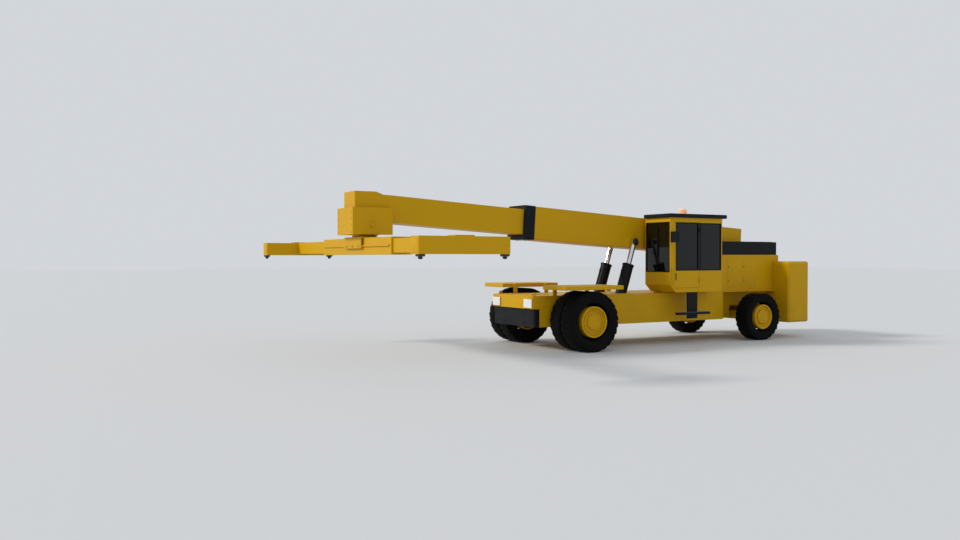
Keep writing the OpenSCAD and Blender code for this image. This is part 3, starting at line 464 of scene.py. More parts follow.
for name in sorted(frame["nodes"]):
    key = next((k for k in EDGE if name in (k, k + "_left", k + "_right")), None)
    if key:
        plate_copy(name, EDGE[key])
    else:
        frame["nodes"][name].data.materials.clear()
        frame["nodes"][name].data.materials.append(finishes[slot_of[name]])
print("rounded edges on", len(EDGE), "kinds of node")

# %% [markdown]
# ## Tyres
#
# A port tyre is a wide, stiff doughnut with chunky rubber lugs, because it carries up to a
# hundred tonnes over concrete. It could be spun from a drawn section. Here it starts as a
# drum, and its two ends are inset step by step, in and out, until they follow the shoulder,
# the bulging side and the narrow bead. The drum's core is then opened and its two rims are
# bridged. A subdivision surface rounds the section. One lug a row is modelled and spun round.

# %% Wheel sizes read from the frame
def wheel_centre(name):
    """The middle of a node's box."""
    low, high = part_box(name)
    return (low + high) / 2


FRONT_LOW, FRONT_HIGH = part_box("tyres_front_left")
REAR_LOW, REAR_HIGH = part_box("tyre_rear_left")
FRONT_R = (FRONT_HIGH.z - FRONT_LOW.z) / 2
REAR_R = (REAR_HIGH.z - REAR_LOW.z) / 2
TWIN_GAP = 0.06
FRONT_W = (FRONT_HIGH.y - FRONT_LOW.y - TWIN_GAP) / 2
REAR_W = REAR_HIGH.y - REAR_LOW.y
SHIFT = wheel_centre("tyres_front_left").x
print("front tyre", round(FRONT_R, 3), round(FRONT_W, 3), "rear", round(REAR_R, 3), round(REAR_W, 3))


def at(x, y, z):
    """A place given from the front axle in millimetres, in the scene's metres."""
    return Vector((x / 1000 + SHIFT, y / 1000, z / 1000))


trees = {}


def touch(name, start, direction):
    """Where a ray from a place first meets a CAD node, so that a small part sits on it."""
    if name not in trees:
        mesh = frame["nodes"][name].data
        trees[name] = BVHTree.FromPolygons(
            [vertex.co for vertex in mesh.vertices], [face.vertices for face in mesh.polygons])
    point = trees[name].ray_cast(Vector(start), Vector(direction).normalized())[0]
    if point is None:
        raise ValueError(f"the ray misses {name}")
    return point


# %% Steps of modelling, each one operator or a few
@contextmanager
def faces(piece, axis, sign=0, least=0.9):
    """Edit the faces that look along an axis, on one side or on both (sign 0)."""
    alone(piece)
    bpy.context.tool_settings.mesh_select_mode = (False, False, True)
    for corner_or_edge in (*piece.data.vertices, *piece.data.edges):
        corner_or_edge.select = False
    for face in piece.data.polygons:
        along = face.normal[axis]
        face.select = (along * sign if sign else abs(along)) > least
    bpy.ops.object.mode_set(mode="EDIT")
    yield
    bpy.ops.object.mode_set(mode="OBJECT")


def inset(thickness, depth=0):
    """Inset the selected faces, and raise or sink them."""
    bpy.ops.mesh.inset(thickness=thickness, depth=depth)


def extrude(*step):
    """Extrude the selected faces by a step."""
    bpy.ops.mesh.extrude_region_move(TRANSFORM_OT_translate={"value": step})


def resize(*factors):
    """Scale the selected faces round their middle."""
    bpy.ops.transform.resize(value=factors)


def bridge_rims():
    """Take out the selected faces and bridge the two rims that this leaves."""
    bpy.ops.mesh.delete(type="FACE")
    bpy.ops.mesh.select_all(action="DESELECT")
    bpy.ops.mesh.select_mode(type="EDGE")
    bpy.ops.mesh.select_non_manifold()
    bpy.ops.mesh.bridge_edge_loops()
    bpy.ops.mesh.select_all(action="SELECT")
    bpy.ops.mesh.normals_make_consistent(inside=False)


def cut_rings(piece, places, axis):
    """Cut a piece across an axis at each place, so that it has rings to move."""
    normal = [float(index == axis) for index in range(3)]
    with editing(piece):
        for place in places:
            bpy.ops.mesh.select_all(action="SELECT")
            bpy.ops.mesh.bisect(plane_co=[place * part for part in normal], plane_no=normal)


def spun(piece, count, axis, threshold):
    """Copies of a piece all round an axis through the origin."""
    with editing(piece):
        bpy.ops.mesh.spin(steps=count, angle=2 * math.pi, center=(0, 0, 0), axis=axis, dupli=True)
        bpy.ops.mesh.select_all(action="SELECT")
        bpy.ops.mesh.remove_doubles(threshold=threshold)


# %% One tyre, its axle along Y, at the origin
LUG = 0.009


def tyre_carcass(radius, width, bore):
    """The round body under the lugs."""
    tread = width * 0.86
    piece = rod("carcass", (0, 0, 0), radius - LUG, tread, axis="Y", sides=72)
    with faces(piece, Y):
        side = radius - LUG - bore
        swell = (width - tread) / 2
        for share, out in ((0.035, 0.7), (0.09, 0.3), (0.35, 0.0), (0.2, -0.5), (0.14, -0.4)):
            inset(side * share, swell * out)
        bridge_rims()
    apply(piece, "SUBSURF", levels=1, render_levels=1)
    return piece


def tyre_lugs(radius, width, count):
    """Two rows of slanting lugs, close together, that run over the shoulders."""
    rows = []
    half = 0.455 * 2 * math.pi * radius / count
    for row in (1, -1):
        lug = block("lug", (-half, -width * 0.22, -0.05), (half, width * 0.22, 0))
        cut_rings(lug, (-half / 2, 0, half / 2), X)
        with faces(lug, Y, row):
            extrude(0, row * width * 0.042, -0.012)
        apply(lug, "BEVEL", width=0.007, segments=1, limit_method="ANGLE", angle_limit=math.radians(40))
        turn_by(lug, -14 * row, "Z")
        for vertex in lug.data.vertices:
            vertex.co.z -= radius - math.sqrt(radius ** 2 - vertex.co.x ** 2)
        shift_by(lug, (0, row * width * 0.232, radius))
        if row < 0:
            lug.data.transform(Matrix.Rotation(math.pi / count, 4, "Y"))
        spun(lug, count, (0, 1, 0), 0.0004)
        rows.append(lug)
    return rows


def tyre_mould(name, radius, width, bore, count):
    """A whole tyre, at the origin."""
    piece = joined([tyre_carcass(radius, width, bore)] + tyre_lugs(radius, width, count), name)
    shade(piece, 32)
    return piece


front_mould = tyre_mould("front_mould", FRONT_R, FRONT_W, 0.478, 26)
rear_mould = tyre_mould("rear_mould", REAR_R, REAR_W, 0.428, 24)
print("tyre faces", len(front_mould.data.polygons), len(rear_mould.data.polygons))

# %% Place the tyres
for side, sign in SIDES:
    centre = wheel_centre("tyres_front_" + side)
    reach = (FRONT_W + TWIN_GAP) / 2
    twins = [twin(front_mould, Matrix.Translation(centre + Vector((0, y, 0)))) for y in (-reach, reach)]
    tyres = joined(twins, "treads_front_" + side)
    finish_piece(tyres, body_of["tyres_front_" + side], "tyre")
    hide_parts("tyres_front_" + side)
    tyre = twin(rear_mould, Matrix.Translation(wheel_centre("tyre_rear_" + side)))
    settle(tyre, "tread_rear_" + side)
    finish_piece(tyre, body_of["tyre_rear_" + side], "tyre")
    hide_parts("tyre_rear_" + side)
for mould in (front_mould, rear_mould):
    bpy.data.objects.remove(mould)

# %% [markdown]
# ## Wheel nuts
#
# A heavy wheel is held by a ring of large nuts on studs. One nut is a hexagonal bar whose
# top edge is turned down, with a stud end standing out of it. It is modelled once, then
# spun round the wheel as copies. A ray down on the rim's disc says where each ring sits.

# %% A nut on its stud, seen along Z
def nut(width, stand):
    """A hexagonal nut with a stud end, its foot at the origin."""
    body = rod("nut", (0, 0, stand / 2), width / 2, stand, sides=6)
    with faces(body, Z, 1):
        inset(width * 0.09, width * 0.06)
        inset(width * 0.16)
        extrude(0, 0, stand * 0.45)
        resize(0.92, 0.92, 1)
    return body


def ring_of_nuts(centre, axis_y, ring_radius, count, width, stand):
    """Nuts spun round a Y axis, standing out along Y."""
    piece = nut(width, stand)
    turn_by(piece, -90 * axis_y, "X")
    shift_by(piece, (0, 0, ring_radius))
    spun(piece, count, (0, 1, 0), 0.0002)
    shift_by(piece, centre)
    return piece


# %% Two rings a wheel
WHEELS = {
    # ring radius, nuts, nut width, nut height
    "rim_front_": ((0.345, 20, 0.046, 0.03), (0.185, 10, 0.03, 0.014)),
    "rim_rear_": ((0.27, 12, 0.044, 0.028), (0.13, 8, 0.026, 0.012)),
}
for side, sign in SIDES:
    for kind, rows in WHEELS.items():
        middle = wheel_centre(kind + side)
        rings = []
        for ring_radius, count, width, stand in rows:
            start = middle + Vector((0, sign, ring_radius))
            seat_y = touch(kind + side, start, (0, -sign, 0)).y - sign * 0.002
            rings.append(ring_of_nuts((middle.x, seat_y, middle.z), sign, ring_radius,
                                      count, width, stand))
        finish_piece(joined(rings, "nuts_" + kind[4:] + side), body_of[kind + side], "yellow_paint")
print("wheel nuts on four hubs")

# %% [markdown]
# ## Pins
#
# Every turning joint of the boom and its cylinders is a pin. A round head keeps its end in
# place, and a flat keeper with two bolts stops it from turning. A pin end could be a plain
# disc. Here a short bar's face is inset and raised, with the keeper across it, so that it
# reads as a machined part from close by. Each one sits on the face that its ray finds.

# %% Nuts on any face, and a pin end
def turned_to(direction):
    """The turn that takes Z to a direction."""
    return Vector((0, 0, 1)).rotation_difference(Vector(direction)).to_matrix().to_4x4()


def nuts_at(name, places, direction, width, stand):
    """One nut at each place, standing out along a direction, as one piece."""
    first = nut(width, stand)
    turn = turned_to(direction)
    return copies(first, [Matrix.Translation(Vector(place)) @ turn for place in places], name)


def pin_end(name, centre, radius, sign, keeper_turn):
    """A pin's head at centre, standing out along Y, with a bolted keeper."""
    head = rod("head", (0, 0, 0.006), radius, 0.016, sides=40)
    with faces(head, Z, 1):
        inset(radius * 0.12)
        inset(radius * 0.05, 0.006)
        inset(radius * 0.55)
        inset(radius * 0.05, -0.006)
    keeper = slab((-radius * 1.15, -radius * 0.22, 0.01),
                  (radius * 1.15, radius * 0.22, 0.024), 0.003, 1)
    spots = [(end * radius * 0.82, 0, 0.024) for end in (-1, 1)]
    whole = joined([head, keeper, nuts_at("bolts", spots, (0, 0, 1), radius * 0.3, 0.014)], name)
    whole.data.transform(Matrix.Rotation(keeper_turn, 4, "Z"))
    whole.data.transform(turned_to((0, sign, 0)))
    shift_by(whole, centre)
    return whole


# %% Pin ends at the boom's foot, the head and the lift cylinders
joints = {joint["name"]: joint for joint in frame["joints"]}
LIFT_EYE = at(-3050, 0, 3450)
LIFT_FOOT = at(-2207, 0, 900)
pin_places = (
    # piece, the node it sits on, axis place, radius, turn of its keeper, its paint
    ("pin_boom_", "boom_towers", Vector(joints["boom_lift"]["pos_m"]), 0.12, 0.0, "steel"),
    ("pin_head_", "head", Vector(joints["head_level"]["pos_m"]), 0.085, 1.2, "yellow_paint"),
    ("pin_lift_", "lift_rod_", LIFT_EYE, 0.088, 0.6, "steel"),
)
for side, sign in SIDES:
    for piece_name, node_name, axis_place, radius, turn, paint in pin_places:
        carrier = node_name + side if node_name.endswith("_") else node_name
        foot = touch(carrier, axis_place + Vector((0.0, sign * 3, radius * 0.95)), (0, -sign, 0))
        centre = Vector((axis_place.x, foot.y, axis_place.z))
        pin = pin_end(piece_name + side, centre, radius, sign, turn)
        finish_piece(pin, body_of[carrier], paint)
print("pin ends on", [row[1] for row in pin_places])

# %% [markdown]
# ## Lift cylinders
#
# A cylinder's barrel ends in a gland, a heavy ring that holds the seals and is bolted on.
# Next to it runs the steel pipe that feeds the oil. Both are made along the barrel's own
# line: the ring as a drum whose ends are inset and bridged into a hole, and the pipe as a
# bar whose ends are extruded and turned in to the barrel.

# %% A ring with a hole, and the lean of the cylinders
def collar_ring(name, outer, inner, height):
    """A flat ring about Z with its foot at z 0."""
    piece = rod(name, (0, 0, height / 2), outer, height, sides=56)
    with faces(piece, Z):
        inset(outer - inner)
        bridge_rims()
    return rounded(piece, 0.003, angle=40)


LEAN = (LIFT_EYE - LIFT_FOOT).normalized()
BARREL_R, BARREL_LEN, BARREL_Y = 0.185, 1.853, 0.595
SCREW_RING = 0.163


def on_barrel(sign, along):
    """The matrix that stands a piece on the cylinder's line, a distance up from its foot."""
    place = LIFT_FOOT + LEAN * along
    place.y = sign * BARREL_Y
    return Matrix.Translation(place) @ turned_to(LEAN)


# %% Glands and pipes
for side, sign in SIDES:
    gland = collar_ring("gland", BARREL_R + 0.016, 0.1275, 0.05)
    shift_by(gland, (0, 0, -0.02))
    spots = [(SCREW_RING * math.cos(turn), SCREW_RING * math.sin(turn), 0.028)
             for turn in (2 * math.pi * step / 10 for step in range(10))]
    gland = joined([gland, nuts_at("screws", spots, (0, 0, 1), 0.026, 0.014)], "gland_" + side)
    gland.data.transform(on_barrel(sign, BARREL_LEN))
    finish_piece(gland, "barrel_" + side, "dark_paint")

    pipe = rod("pipe", (BARREL_R + 0.028, 0, 1.33), 0.014, 0.78, sides=16)
    for end in (-1, 1):
        with faces(pipe, Z, end):
            extrude(-0.012, 0, end * 0.014)
            extrude(-0.035, 0, end * 0.006)
    clamps = [pipe]
    for along in (1.05, 1.6):
        clamps.append(slab((BARREL_R - 0.006, -0.032, along - 0.02),
                           (BARREL_R + 0.046, 0.032, along + 0.02), 0.006))
    pipe = joined(clamps, "oil_pipe_" + side)
    shade(pipe, 40)
    pipe.data.transform(on_barrel(sign, 0))
    finish_piece(pipe, "barrel_" + side, "dark_paint")
print("glands and oil pipes on both barrels")

# %% [markdown]
# ## Boom
#
# A boom section is four plates, welded along their corners, and the inner section slides
# on pads that bolts set from outside. So the collar carries rows of bolts over its pads,
# and a weld bead runs along each corner. The beads are thin bars with a wavy height, made
# by moving each ring of a subdivided bar a little, since a real bead is never quite even.

# %% The boom's own directions
TILT = Vector(joints["boom_extend"]["axis"])
PIVOT = Vector(joints["boom_lift"]["pos_m"])
UP = Vector((-TILT.z, 0, TILT.x))


def boom_at(along, across, up):
    """A place in the boom's own frame, in metres from its pivot."""
    return PIVOT + TILT * along + Vector((0, across, 0)) + UP * up


# %% Bolts over the collar's pads
PAD_ROWS = (8.92, 9.12)
pads = []
for side, sign in SIDES:
    spots = [touch("boom_collar", boom_at(along, sign * 2, up), (0, -sign, 0))
             for along in PAD_ROWS for up in (-0.17, 0.0, 0.52, 0.69)]
    pads.append(nuts_at("pads", spots, (0, sign, 0), 0.03, 0.009))
for away in (1, -1):
    spots = [touch("boom_collar", boom_at(along, across, 0.26 + away * 2), UP * -away)
             for along in PAD_ROWS for across in (-0.33, -0.13, 0.13, 0.33)]
    pads.append(nuts_at("pads", spots, UP * away, 0.03, 0.009))
finish_piece(joined(pads, "collar_bolts"), "boom", "steel")

# %% Weld beads along the corners
BEAD_R, RING_STEP = 0.006, 0.045


def bead(start, end, seed):
    """A weld bead from start to end: a bar whose rings wander a little."""
    length = (end - start).length
    rings = int(length / RING_STEP)
    piece = rod("bead", (0, 0, length / 2), BEAD_R, length, sides=6)
    cut_rings(piece, [length * ring / rings for ring in range(1, rings)], Z)
    wander = random.Random(seed)
    heights = {}
    for vertex in piece.data.vertices:
        level = round(vertex.co.z, 4)
        if level not in heights:
            heights[level] = 1 + wander.uniform(-0.25, 0.25)
        vertex.co.x *= heights[level]
        vertex.co.y *= heights[level]
    alone(piece)
    bpy.ops.object.shade_smooth()
    piece.data.transform(Matrix.Translation(start) @ turned_to(end - start))
    return piece


beads = []
for across in (0.5, -0.5):
    # the lower beads are ground flush where the lift rods swing past
    for up, start, end in ((0.765, -0.34, 8.82), (-0.245, -0.34, 4.3), (-0.245, 5.3, 8.82)):
        beads.append(bead(boom_at(start, across, up), boom_at(end, across, up), len(beads) + 1))
beads = joined(beads, "boom_welds")
finish_piece(beads, "boom", "yellow_paint")
print("collar bolts and", len(beads.data.polygons), "faces of weld bead")

# %% [markdown]
# ## Cab windows
#
# Each pane is held in a black rubber seal that laps over the metal. A seal could be four
# bars, but then its corners would gape. Here it is a flat block whose two faces are inset
# once to find the inner edge; the middle is taken out, and the two rims are bridged. From
# a distance the door's pane and the pane behind it read as one dark window, because the
# pillar between them wears a black cover.

# %% A seal round one opening
SEAL, SEAL_STAND = 0.034, 0.014


def seal(low, high, normal_axis):
    """A rubber frame on a wall, round the opening between two corners."""
    size = high - low
    middle = (low + high) / 2
    half = Vector([abs(length) / 2 + SEAL * 0.55 for length in size])
    half[normal_axis] = SEAL_STAND / 2
    piece = block("seal", middle - half, middle + half)
    with faces(piece, normal_axis):
        inset(SEAL)
        bridge_rims()
    return rounded(piece, 0.004)


# %% Seals of the five openings, and the covers of the pillar
WALL_Y, INNER_Y, FRONT_X, REAR_X, PILLAR = 1950, 712, -3450, -5800, 45
GLASS_FOOT, GLASS_TOP = 2500, 4070
seals = [
    seal(at(FRONT_X, INNER_Y + PILLAR, 2450), at(FRONT_X, WALL_Y - PILLAR, 4090), X),
    seal(at(REAR_X, INNER_Y + 3 * PILLAR, 2600), at(REAR_X, WALL_Y - 3 * PILLAR, GLASS_TOP), X),
    seal(at(-5740, WALL_Y, GLASS_FOOT), at(-4810, WALL_Y, GLASS_TOP), Y),
    seal(at(-5680, INNER_Y, GLASS_FOOT), at(-3710, INNER_Y, GLASS_TOP), Y),
    slab(at(-4822, WALL_Y - 1, 2481), at(-4752, WALL_Y + 5, 4089), 0.002, 1),
]
finish_piece(joined(seals, "window_seals"), "frame", "dark_paint")

seals = [
    seal(at(-4690, WALL_Y - 2, GLASS_FOOT), at(-3710, WALL_Y - 2, GLASS_TOP), Y),
    slab(at(-4746, WALL_Y - 3, 2481), at(-4678, WALL_Y + 3, 4089), 0.002, 1),
]
finish_piece(joined(seals, "door_seal"), "door", "dark_paint")


def hinge_cap(low_z, high_z, leaf_end, body):
    """A black cap over one leaf of the upper hinge, so that the dark glazing runs on."""
    knuckle = rod("knuckle", at(-4758, 1970, (low_z + high_z) / 2), 0.0205, (high_z - low_z) / 1000,
                  sides=32)
    leaf = block("leaf", at(-4758, WALL_Y + 0.5, low_z), at(leaf_end, WALL_Y + 13.5, high_z))
    cap_piece = joined([knuckle, leaf], "hinge_cap_" + body)
    finish_piece(rounded(cap_piece, 0.0015, 1), body, "dark_paint")


hinge_cap(3779.5, 3840.1, -4799, "frame")
hinge_cap(3840.2, 3900.8, -4696, "door")
print("seals on five openings")

# %% [markdown]
# ## Wiper, handle and rail
#
# The wiper stands upright in the middle of the windscreen. Its arm is a bar whose end is
# extruded on and tapered, its blade a thin bar, and a short drum covers its pivot. The door
# handle and the grab rail are bars too: a bar's ends are extruded out and turned to the wall
# in two steps, which is how such a rail is bent.

# %% A bent rail and a wiper
def bent_rail(name, low, high, stand, radius):
    """An upright round rail from low to high, its ends bent in to the left wall."""
    length = high.z - low.z
    piece = rod(name, (0, 0, 0), radius, length - 4 * radius, sides=16)
    for end in (-1, 1):
        with faces(piece, Z, end):
            extrude(0, -radius * 0.8, end * radius * 1.4)
            bpy.ops.transform.rotate(value=math.radians(45 * end), orient_axis="X",
                                     center_override=(0, -radius * 0.8, end * (length / 2 - 0.6 * radius)))
            extrude(0, radius * 0.8 - stand, 0)
    shade(piece, 50)
    shift_by(piece, (low + high) / 2 + Vector((0, stand, 0)))
    return piece


wiper_foot = at(FRONT_X, 1330, 2560)
arm = block("arm", wiper_foot + Vector((0.012, -0.012, 0)), wiper_foot + Vector((0.026, 0.012, 0.72)))
with faces(arm, Z, 1):
    extrude(-0.008, 0, 0.3)
    resize(0.7, 0.5, 1)
blade = slab(wiper_foot + Vector((-0.012, -0.006, 0.35)),
             wiper_foot + Vector((0.014, 0.006, 1.42)), 0.002, 1)
hub = rod("hub", wiper_foot + Vector((0.012, 0, -0.02)), 0.032, 0.04, axis="X", sides=24)
wiper = joined([rounded(arm, 0.003, 1), blade, rounded(hub, 0.006)], "wiper")
finish_piece(wiper, "frame", "dark_paint")

for piece_name, x, y, low_z, high_z, stand, radius, body, paint in (
    ("door_handle", -3680, WALL_Y - 2, 2180, 2400, 0.04, 0.011, "door", "dark_paint"),
    ("grab_rail", -3520, WALL_Y, 1990, 2560, 0.05, 0.013, "frame", "yellow_paint"),
):
    rail = bent_rail(piece_name, at(x, y, low_z), at(x, y, high_z), stand, radius)
    finish_piece(rail, body, paint)
print("wiper, handle and rail")

# %% [markdown]
# ## The driver's place
#
# The seat's CAD blocks give its place. Over them go the upholstered parts, which are soft:
# each cushion starts as a block whose top is inset and lifted twice, so that it crowns,
# with a narrow sunk line between for the seam, and a subdivision surface makes it full.
# Cloth simulation would give creases too, but a firm vinyl driver's seat hardly has any.

# %% Seat cushions
def cushion(name, low, high, crown, face_axis=Z):
    """A firm cushion between two corners, crowned along one axis."""
    piece = block(name, low, high)
    size = high - low
    short = min(abs(size[axis]) for axis in range(3) if axis != face_axis)
    apply(piece, "BEVEL", width=min(abs(c) for c in size) * 0.22, segments=2, limit_method="ANGLE")
    with faces(piece, face_axis, 1, least=0.95):
        inset(short * 0.06)
        inset(short * 0.012, -0.008)
        inset(short * 0.012, 0.012)
        inset(short * 0.1, crown * 0.6)
        inset(short * 0.14, crown * 0.4)
    apply(piece, "SUBSURF", levels=2, render_levels=2)
    alone(piece)
    bpy.ops.object.shade_smooth()
    return piece


vinyl = finish("seat vinyl", (0.018, 0.018, 0.02), 0.55, dirt=0.15, bump=0.4, bump_scale=520.0,
               bump_depth=0.0007)
ROOM_Y = (INNER_Y + WALL_Y) / 2
SEAT_X, SEAT_Z = -4500, 2240


def seat_at(x, y, z):
    """A place given from the seat in millimetres, in the scene's metres."""
    return at(SEAT_X + x, ROOM_Y + y, SEAT_Z + z)


base = cushion("seat_cushion", seat_at(-545, -290, -10), seat_at(15, 290, 165), 0.03)
back = cushion("seat_back", at(-135, -285, 150), at(25, 285, 770), 0.03, X)
rest = cushion("head_rest", at(-115, -150, 790), at(15, 150, 990), 0.02, X)
for upper in (back, rest):
    shift_by(upper, (-SHIFT, 0, 0))
    turn_by(upper, -8, "Y")
    shift_by(upper, seat_at(-480, 0, 140))
for soft in (base, back, rest):
    finish_piece(soft, "frame", "interior", vinyl)

# %% Armrests, console and screen
arms = []
for arm_y in (-330, 330):
    pad = block("arm_pad", seat_at(-420, arm_y - 45, 330), seat_at(-60, arm_y + 45, 385))
    with faces(pad, X, 1):
        extrude(0.07, 0, -0.012)
        resize(1, 1.15, 0.8)
    arms.append(rounded(pad, 0.012, 3))
    arms.append(slab(seat_at(-400, arm_y - 20, -20), seat_at(-350, arm_y + 20, 340), 0.008))
stick = rod("stick", seat_at(20, -330, 430), 0.012, 0.14, sides=20)
with faces(stick, Z, 1):
    for grow, lift in ((1.9, 0.02), (1.15, 0.05), (0.6, 0.025)):
        extrude(0, 0, lift)
        resize(grow, grow, 1)
arms.append(rounded(stick, 0.003, 2, angle=40))
screen = block("screen", at(-3720, 1700, 2760), at(-3680, 1880, 2900))
with faces(screen, X, -1):
    inset(0.014, -0.006)
arms.append(rounded(screen, 0.004, 2, angle=60))
arms.append(slab(at(-3712, 1780, 2480), at(-3690, 1800, 2770), 0.004))
arms.append(slab(at(-3712, 1600, 2400), at(-3500, 1880, 2490), 0.02))
panel = block("panel", at(-3960, ROOM_Y - 150, 2400), at(-3770, ROOM_Y + 150, 2470))
with faces(panel, Z, 1):
    inset(0.02)
    inset(0.012, -0.008)
arms.append(rounded(panel, 0.01, 2, angle=60))
finish_piece(joined(arms, "driver_controls"), "frame", "interior")
print("seat, armrests, lever and screen")

# %% [markdown]
# ## Lamps, mirror and beacon
#
# A lamp lens is fluted on the inside, which spreads the beam, and its frame laps over the
# edge. The flutes are one half-round bar, copied across. The mirror is a shell with its
# glass sunk a little, so its rear face is inset twice. The beacon's lens stands on a
# ring and has upright ribs, spun round from one.

# %% Flutes and frames
FLUTE_STEP = 0.024


def flutes(low, high, radius):
    """Upright half-round bars across a lens that faces X."""
    count = int((high.y - low.y) / FLUTE_STEP)
    first = rod("flute", (0, 0, 0), radius, high.z - low.z - 0.03, sides=8)
    face_x = high.x if abs(high.x) > abs(low.x) else low.x
    spots = [(face_x, low.y + (index + 0.5) * (high.y - low.y) / count, (low.z + high.z) / 2)
             for index in range(count)]
    piece = copies(first, [Matrix.Translation(spot) for spot in spots], "flutes")
    shade(piece, 60)
    return piece


def lamp_boxes(node_name):
    """The left and right half of a node's box, as (low, high) corners."""
    low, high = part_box(node_name)
    mesh = frame["nodes"][node_name].data
    inner = min(vertex.co.y for vertex in mesh.vertices if vertex.co.y > 0)
    return ((Vector((low.x, inner, low.z)), high), (low, Vector((high.x, -inner, high.z))))


for node_name, slot_name, radius in (
    ("headlights", "lamp_white", 0.005),
    ("tail_lamps", "lamp_red", 0.0035),
):
    made = [flutes(low, high, radius) for low, high in lamp_boxes(node_name)]
    finish_piece(joined(made, node_name + "_flutes"), "frame", slot_name)

# %% Lamp frames
frames = []
for node_name in ("headlights", "tail_lamps"):
    for low, high in lamp_boxes(node_name):
        lap = Vector((-0.012, 0.012, 0.012))
        ring = block("ring", low - lap, high + lap)
        with faces(ring, X):
            inset(0.0125)
            bridge_rims()
        frames.append(rounded(ring, 0.003))
finish_piece(joined(frames, "lamp_frames"), "frame", "yellow_paint")

# %% Mirror glass, and the beacon's ring and ribs
low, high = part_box("side_mirror")
inner_y = at(0, 2000, 0).y
centre = Vector((low.x, (high.y + inner_y) / 2, (low.z + high.z) / 2))
reach = Vector((0.004, (high.y - inner_y) / 2 - 0.022, (high.z - low.z) / 2 - 0.022))
pane_piece = block("mirror_glass", centre - reach, centre + reach)
with faces(pane_piece, X, -1):
    inset(0.008)
    inset(0.004, -0.002)
finish_piece(rounded(pane_piece, 0.001, 1, angle=60), "frame", "chrome")

low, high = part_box("beacon")
middle = (low + high) / 2
beacon_r = (high.x - low.x) / 2
foot = collar_ring("beacon_ring", beacon_r + 0.008, beacon_r - 0.02, 0.022)
shift_by(foot, (middle.x, middle.y, low.z))
finish_piece(foot, "frame", "dark_paint")
rib = rod("beacon_ribs", (0, beacon_r, low.z + 0.095), 0.006, 0.13, sides=8)
spun(rib, 24, (0, 0, 1), 0.0002)
shift_by(rib, (middle.x, middle.y, 0))
finish_piece(rib, "frame", "lamp_amber")
print("lamps, mirror and beacon")

# %% [markdown]
# ## Deck, bumper and step
#
# A driver walks over the deck and climbs the step, so the step has grip. Its tread
# is a grating: bars across, copied along. The bumper is bolted on, so its face shows eight
# bolt heads. Filler caps and hatches on the deck are short drums and thin blocks, each with
# its face inset and sunk.

# %% A filler cap and a hatch
def cap(centre, radius, height):
    """A round filler cap with a sunk ring and a grip across it."""
    piece = rod("cap", (0, 0, height / 2), radius, height, sides=32)
    with faces(piece, Z, 1):
        inset(radius * 0.18)
        inset(radius * 0.06, -height * 0.25)
    rounded(piece, 0.003, 1)
    grip = slab((-radius * 0.7, -0.012, height * 0.7), (radius * 0.7, 0.012, height * 1.25), 0.004)
    whole = joined([piece, grip], "cap")
    shift_by(whole, centre)
    return whole


def hatch(low, high, stand, axis=Z, sign=1):
    """A thin lid that lies on a surface, its edge turned down and its middle pressed."""
    low, high = Vector(low), Vector(high)
    size = high - low
    size[axis] = sign * stand
    piece = block("hatch", low, low + size)
    with faces(piece, axis, sign):
        inset(0.03)
        inset(0.012, stand * 0.5)
    return rounded(piece, min(0.004, stand * 0.3), 1, angle=25)


# %% Things on the deck
DECK = 1720
deck_parts = [
    hatch(at(250, -320, DECK), at(950, 320, DECK), 0.012),
    hatch(at(-1750, -420, DECK), at(-1300, 420, DECK), 0.012),
    cap(at(-700, 760, DECK), 0.085, 0.05),
    cap(at(-700, -760, DECK), 0.085, 0.05),
    cap(at(-3250, -1080, DECK), 0.1, 0.06),
]
for y in (1000, -1000):
    eye = collar_ring("eye", 0.06, 0.034, 0.028)
    turn_by(eye, 90, "X")
    shift_by(eye, at(1300, y, DECK + 46))
    deck_parts += [eye, slab(at(1230, y - 40, DECK - 1), at(1370, y + 40, DECK + 12), 0.003, 1)]
finish_piece(joined(deck_parts, "deck_fittings"), "frame", "yellow_paint")

# %% Bolts of the bumper, and the grating of the step
low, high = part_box("bumper")
spots = [touch("bumper", (high.x + 1, y, z), (-1, 0, 0))
         for y in (-1.0, -0.6, 0.6, 1.0) for z in (low.z + 0.12, high.z - 0.12)]
finish_piece(nuts_at("bumper_bolts", spots, (1, 0, 0), 0.036, 0.012), "frame", "dark_paint")

low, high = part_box("step")
tread_low = Vector((low.x, at(0, 1910, 0).y, 1.09))
tread_depth = high.y - tread_low.y
TOOTH, TOOTH_H, BAR_STEP = 0.024, 0.006, 0.05
bar = block("bar", (0, TOOTH_H, 0), (0.012, tread_depth - TOOTH_H, 0.014))
cut_rings(bar, [TOOTH_H + TOOTH * share for share in range(1, int(tread_depth / TOOTH))], Y)
for vertex in bar.data.vertices:
    if vertex.co.z > 0.01 and round((vertex.co.y - TOOTH_H) / TOOTH) % 2:
        vertex.co.z -= TOOTH_H
count = int((high.x - low.x) / BAR_STEP)
bars = copies(bar, [Matrix.Translation(tread_low + Vector((0.02 + BAR_STEP * step, 0, -0.004)))
                    for step in range(count)], "tread_grating")
finish_piece(bars, "frame", "steel", finishes["bright_steel"])
print(len(spots), "bumper bolts,", count, "grating bars")

# %% [markdown]
# ## Engine cover and air box
#
# The cover's side is sheet metal with doors for service. Each door is a thin pressed lid
# with its edge turned down, and two flush latches hold it. Air leaves through louvres on
# the far side. One louvre is a wedge: a block whose upper edge is pulled in, and
# it is copied up the wall.

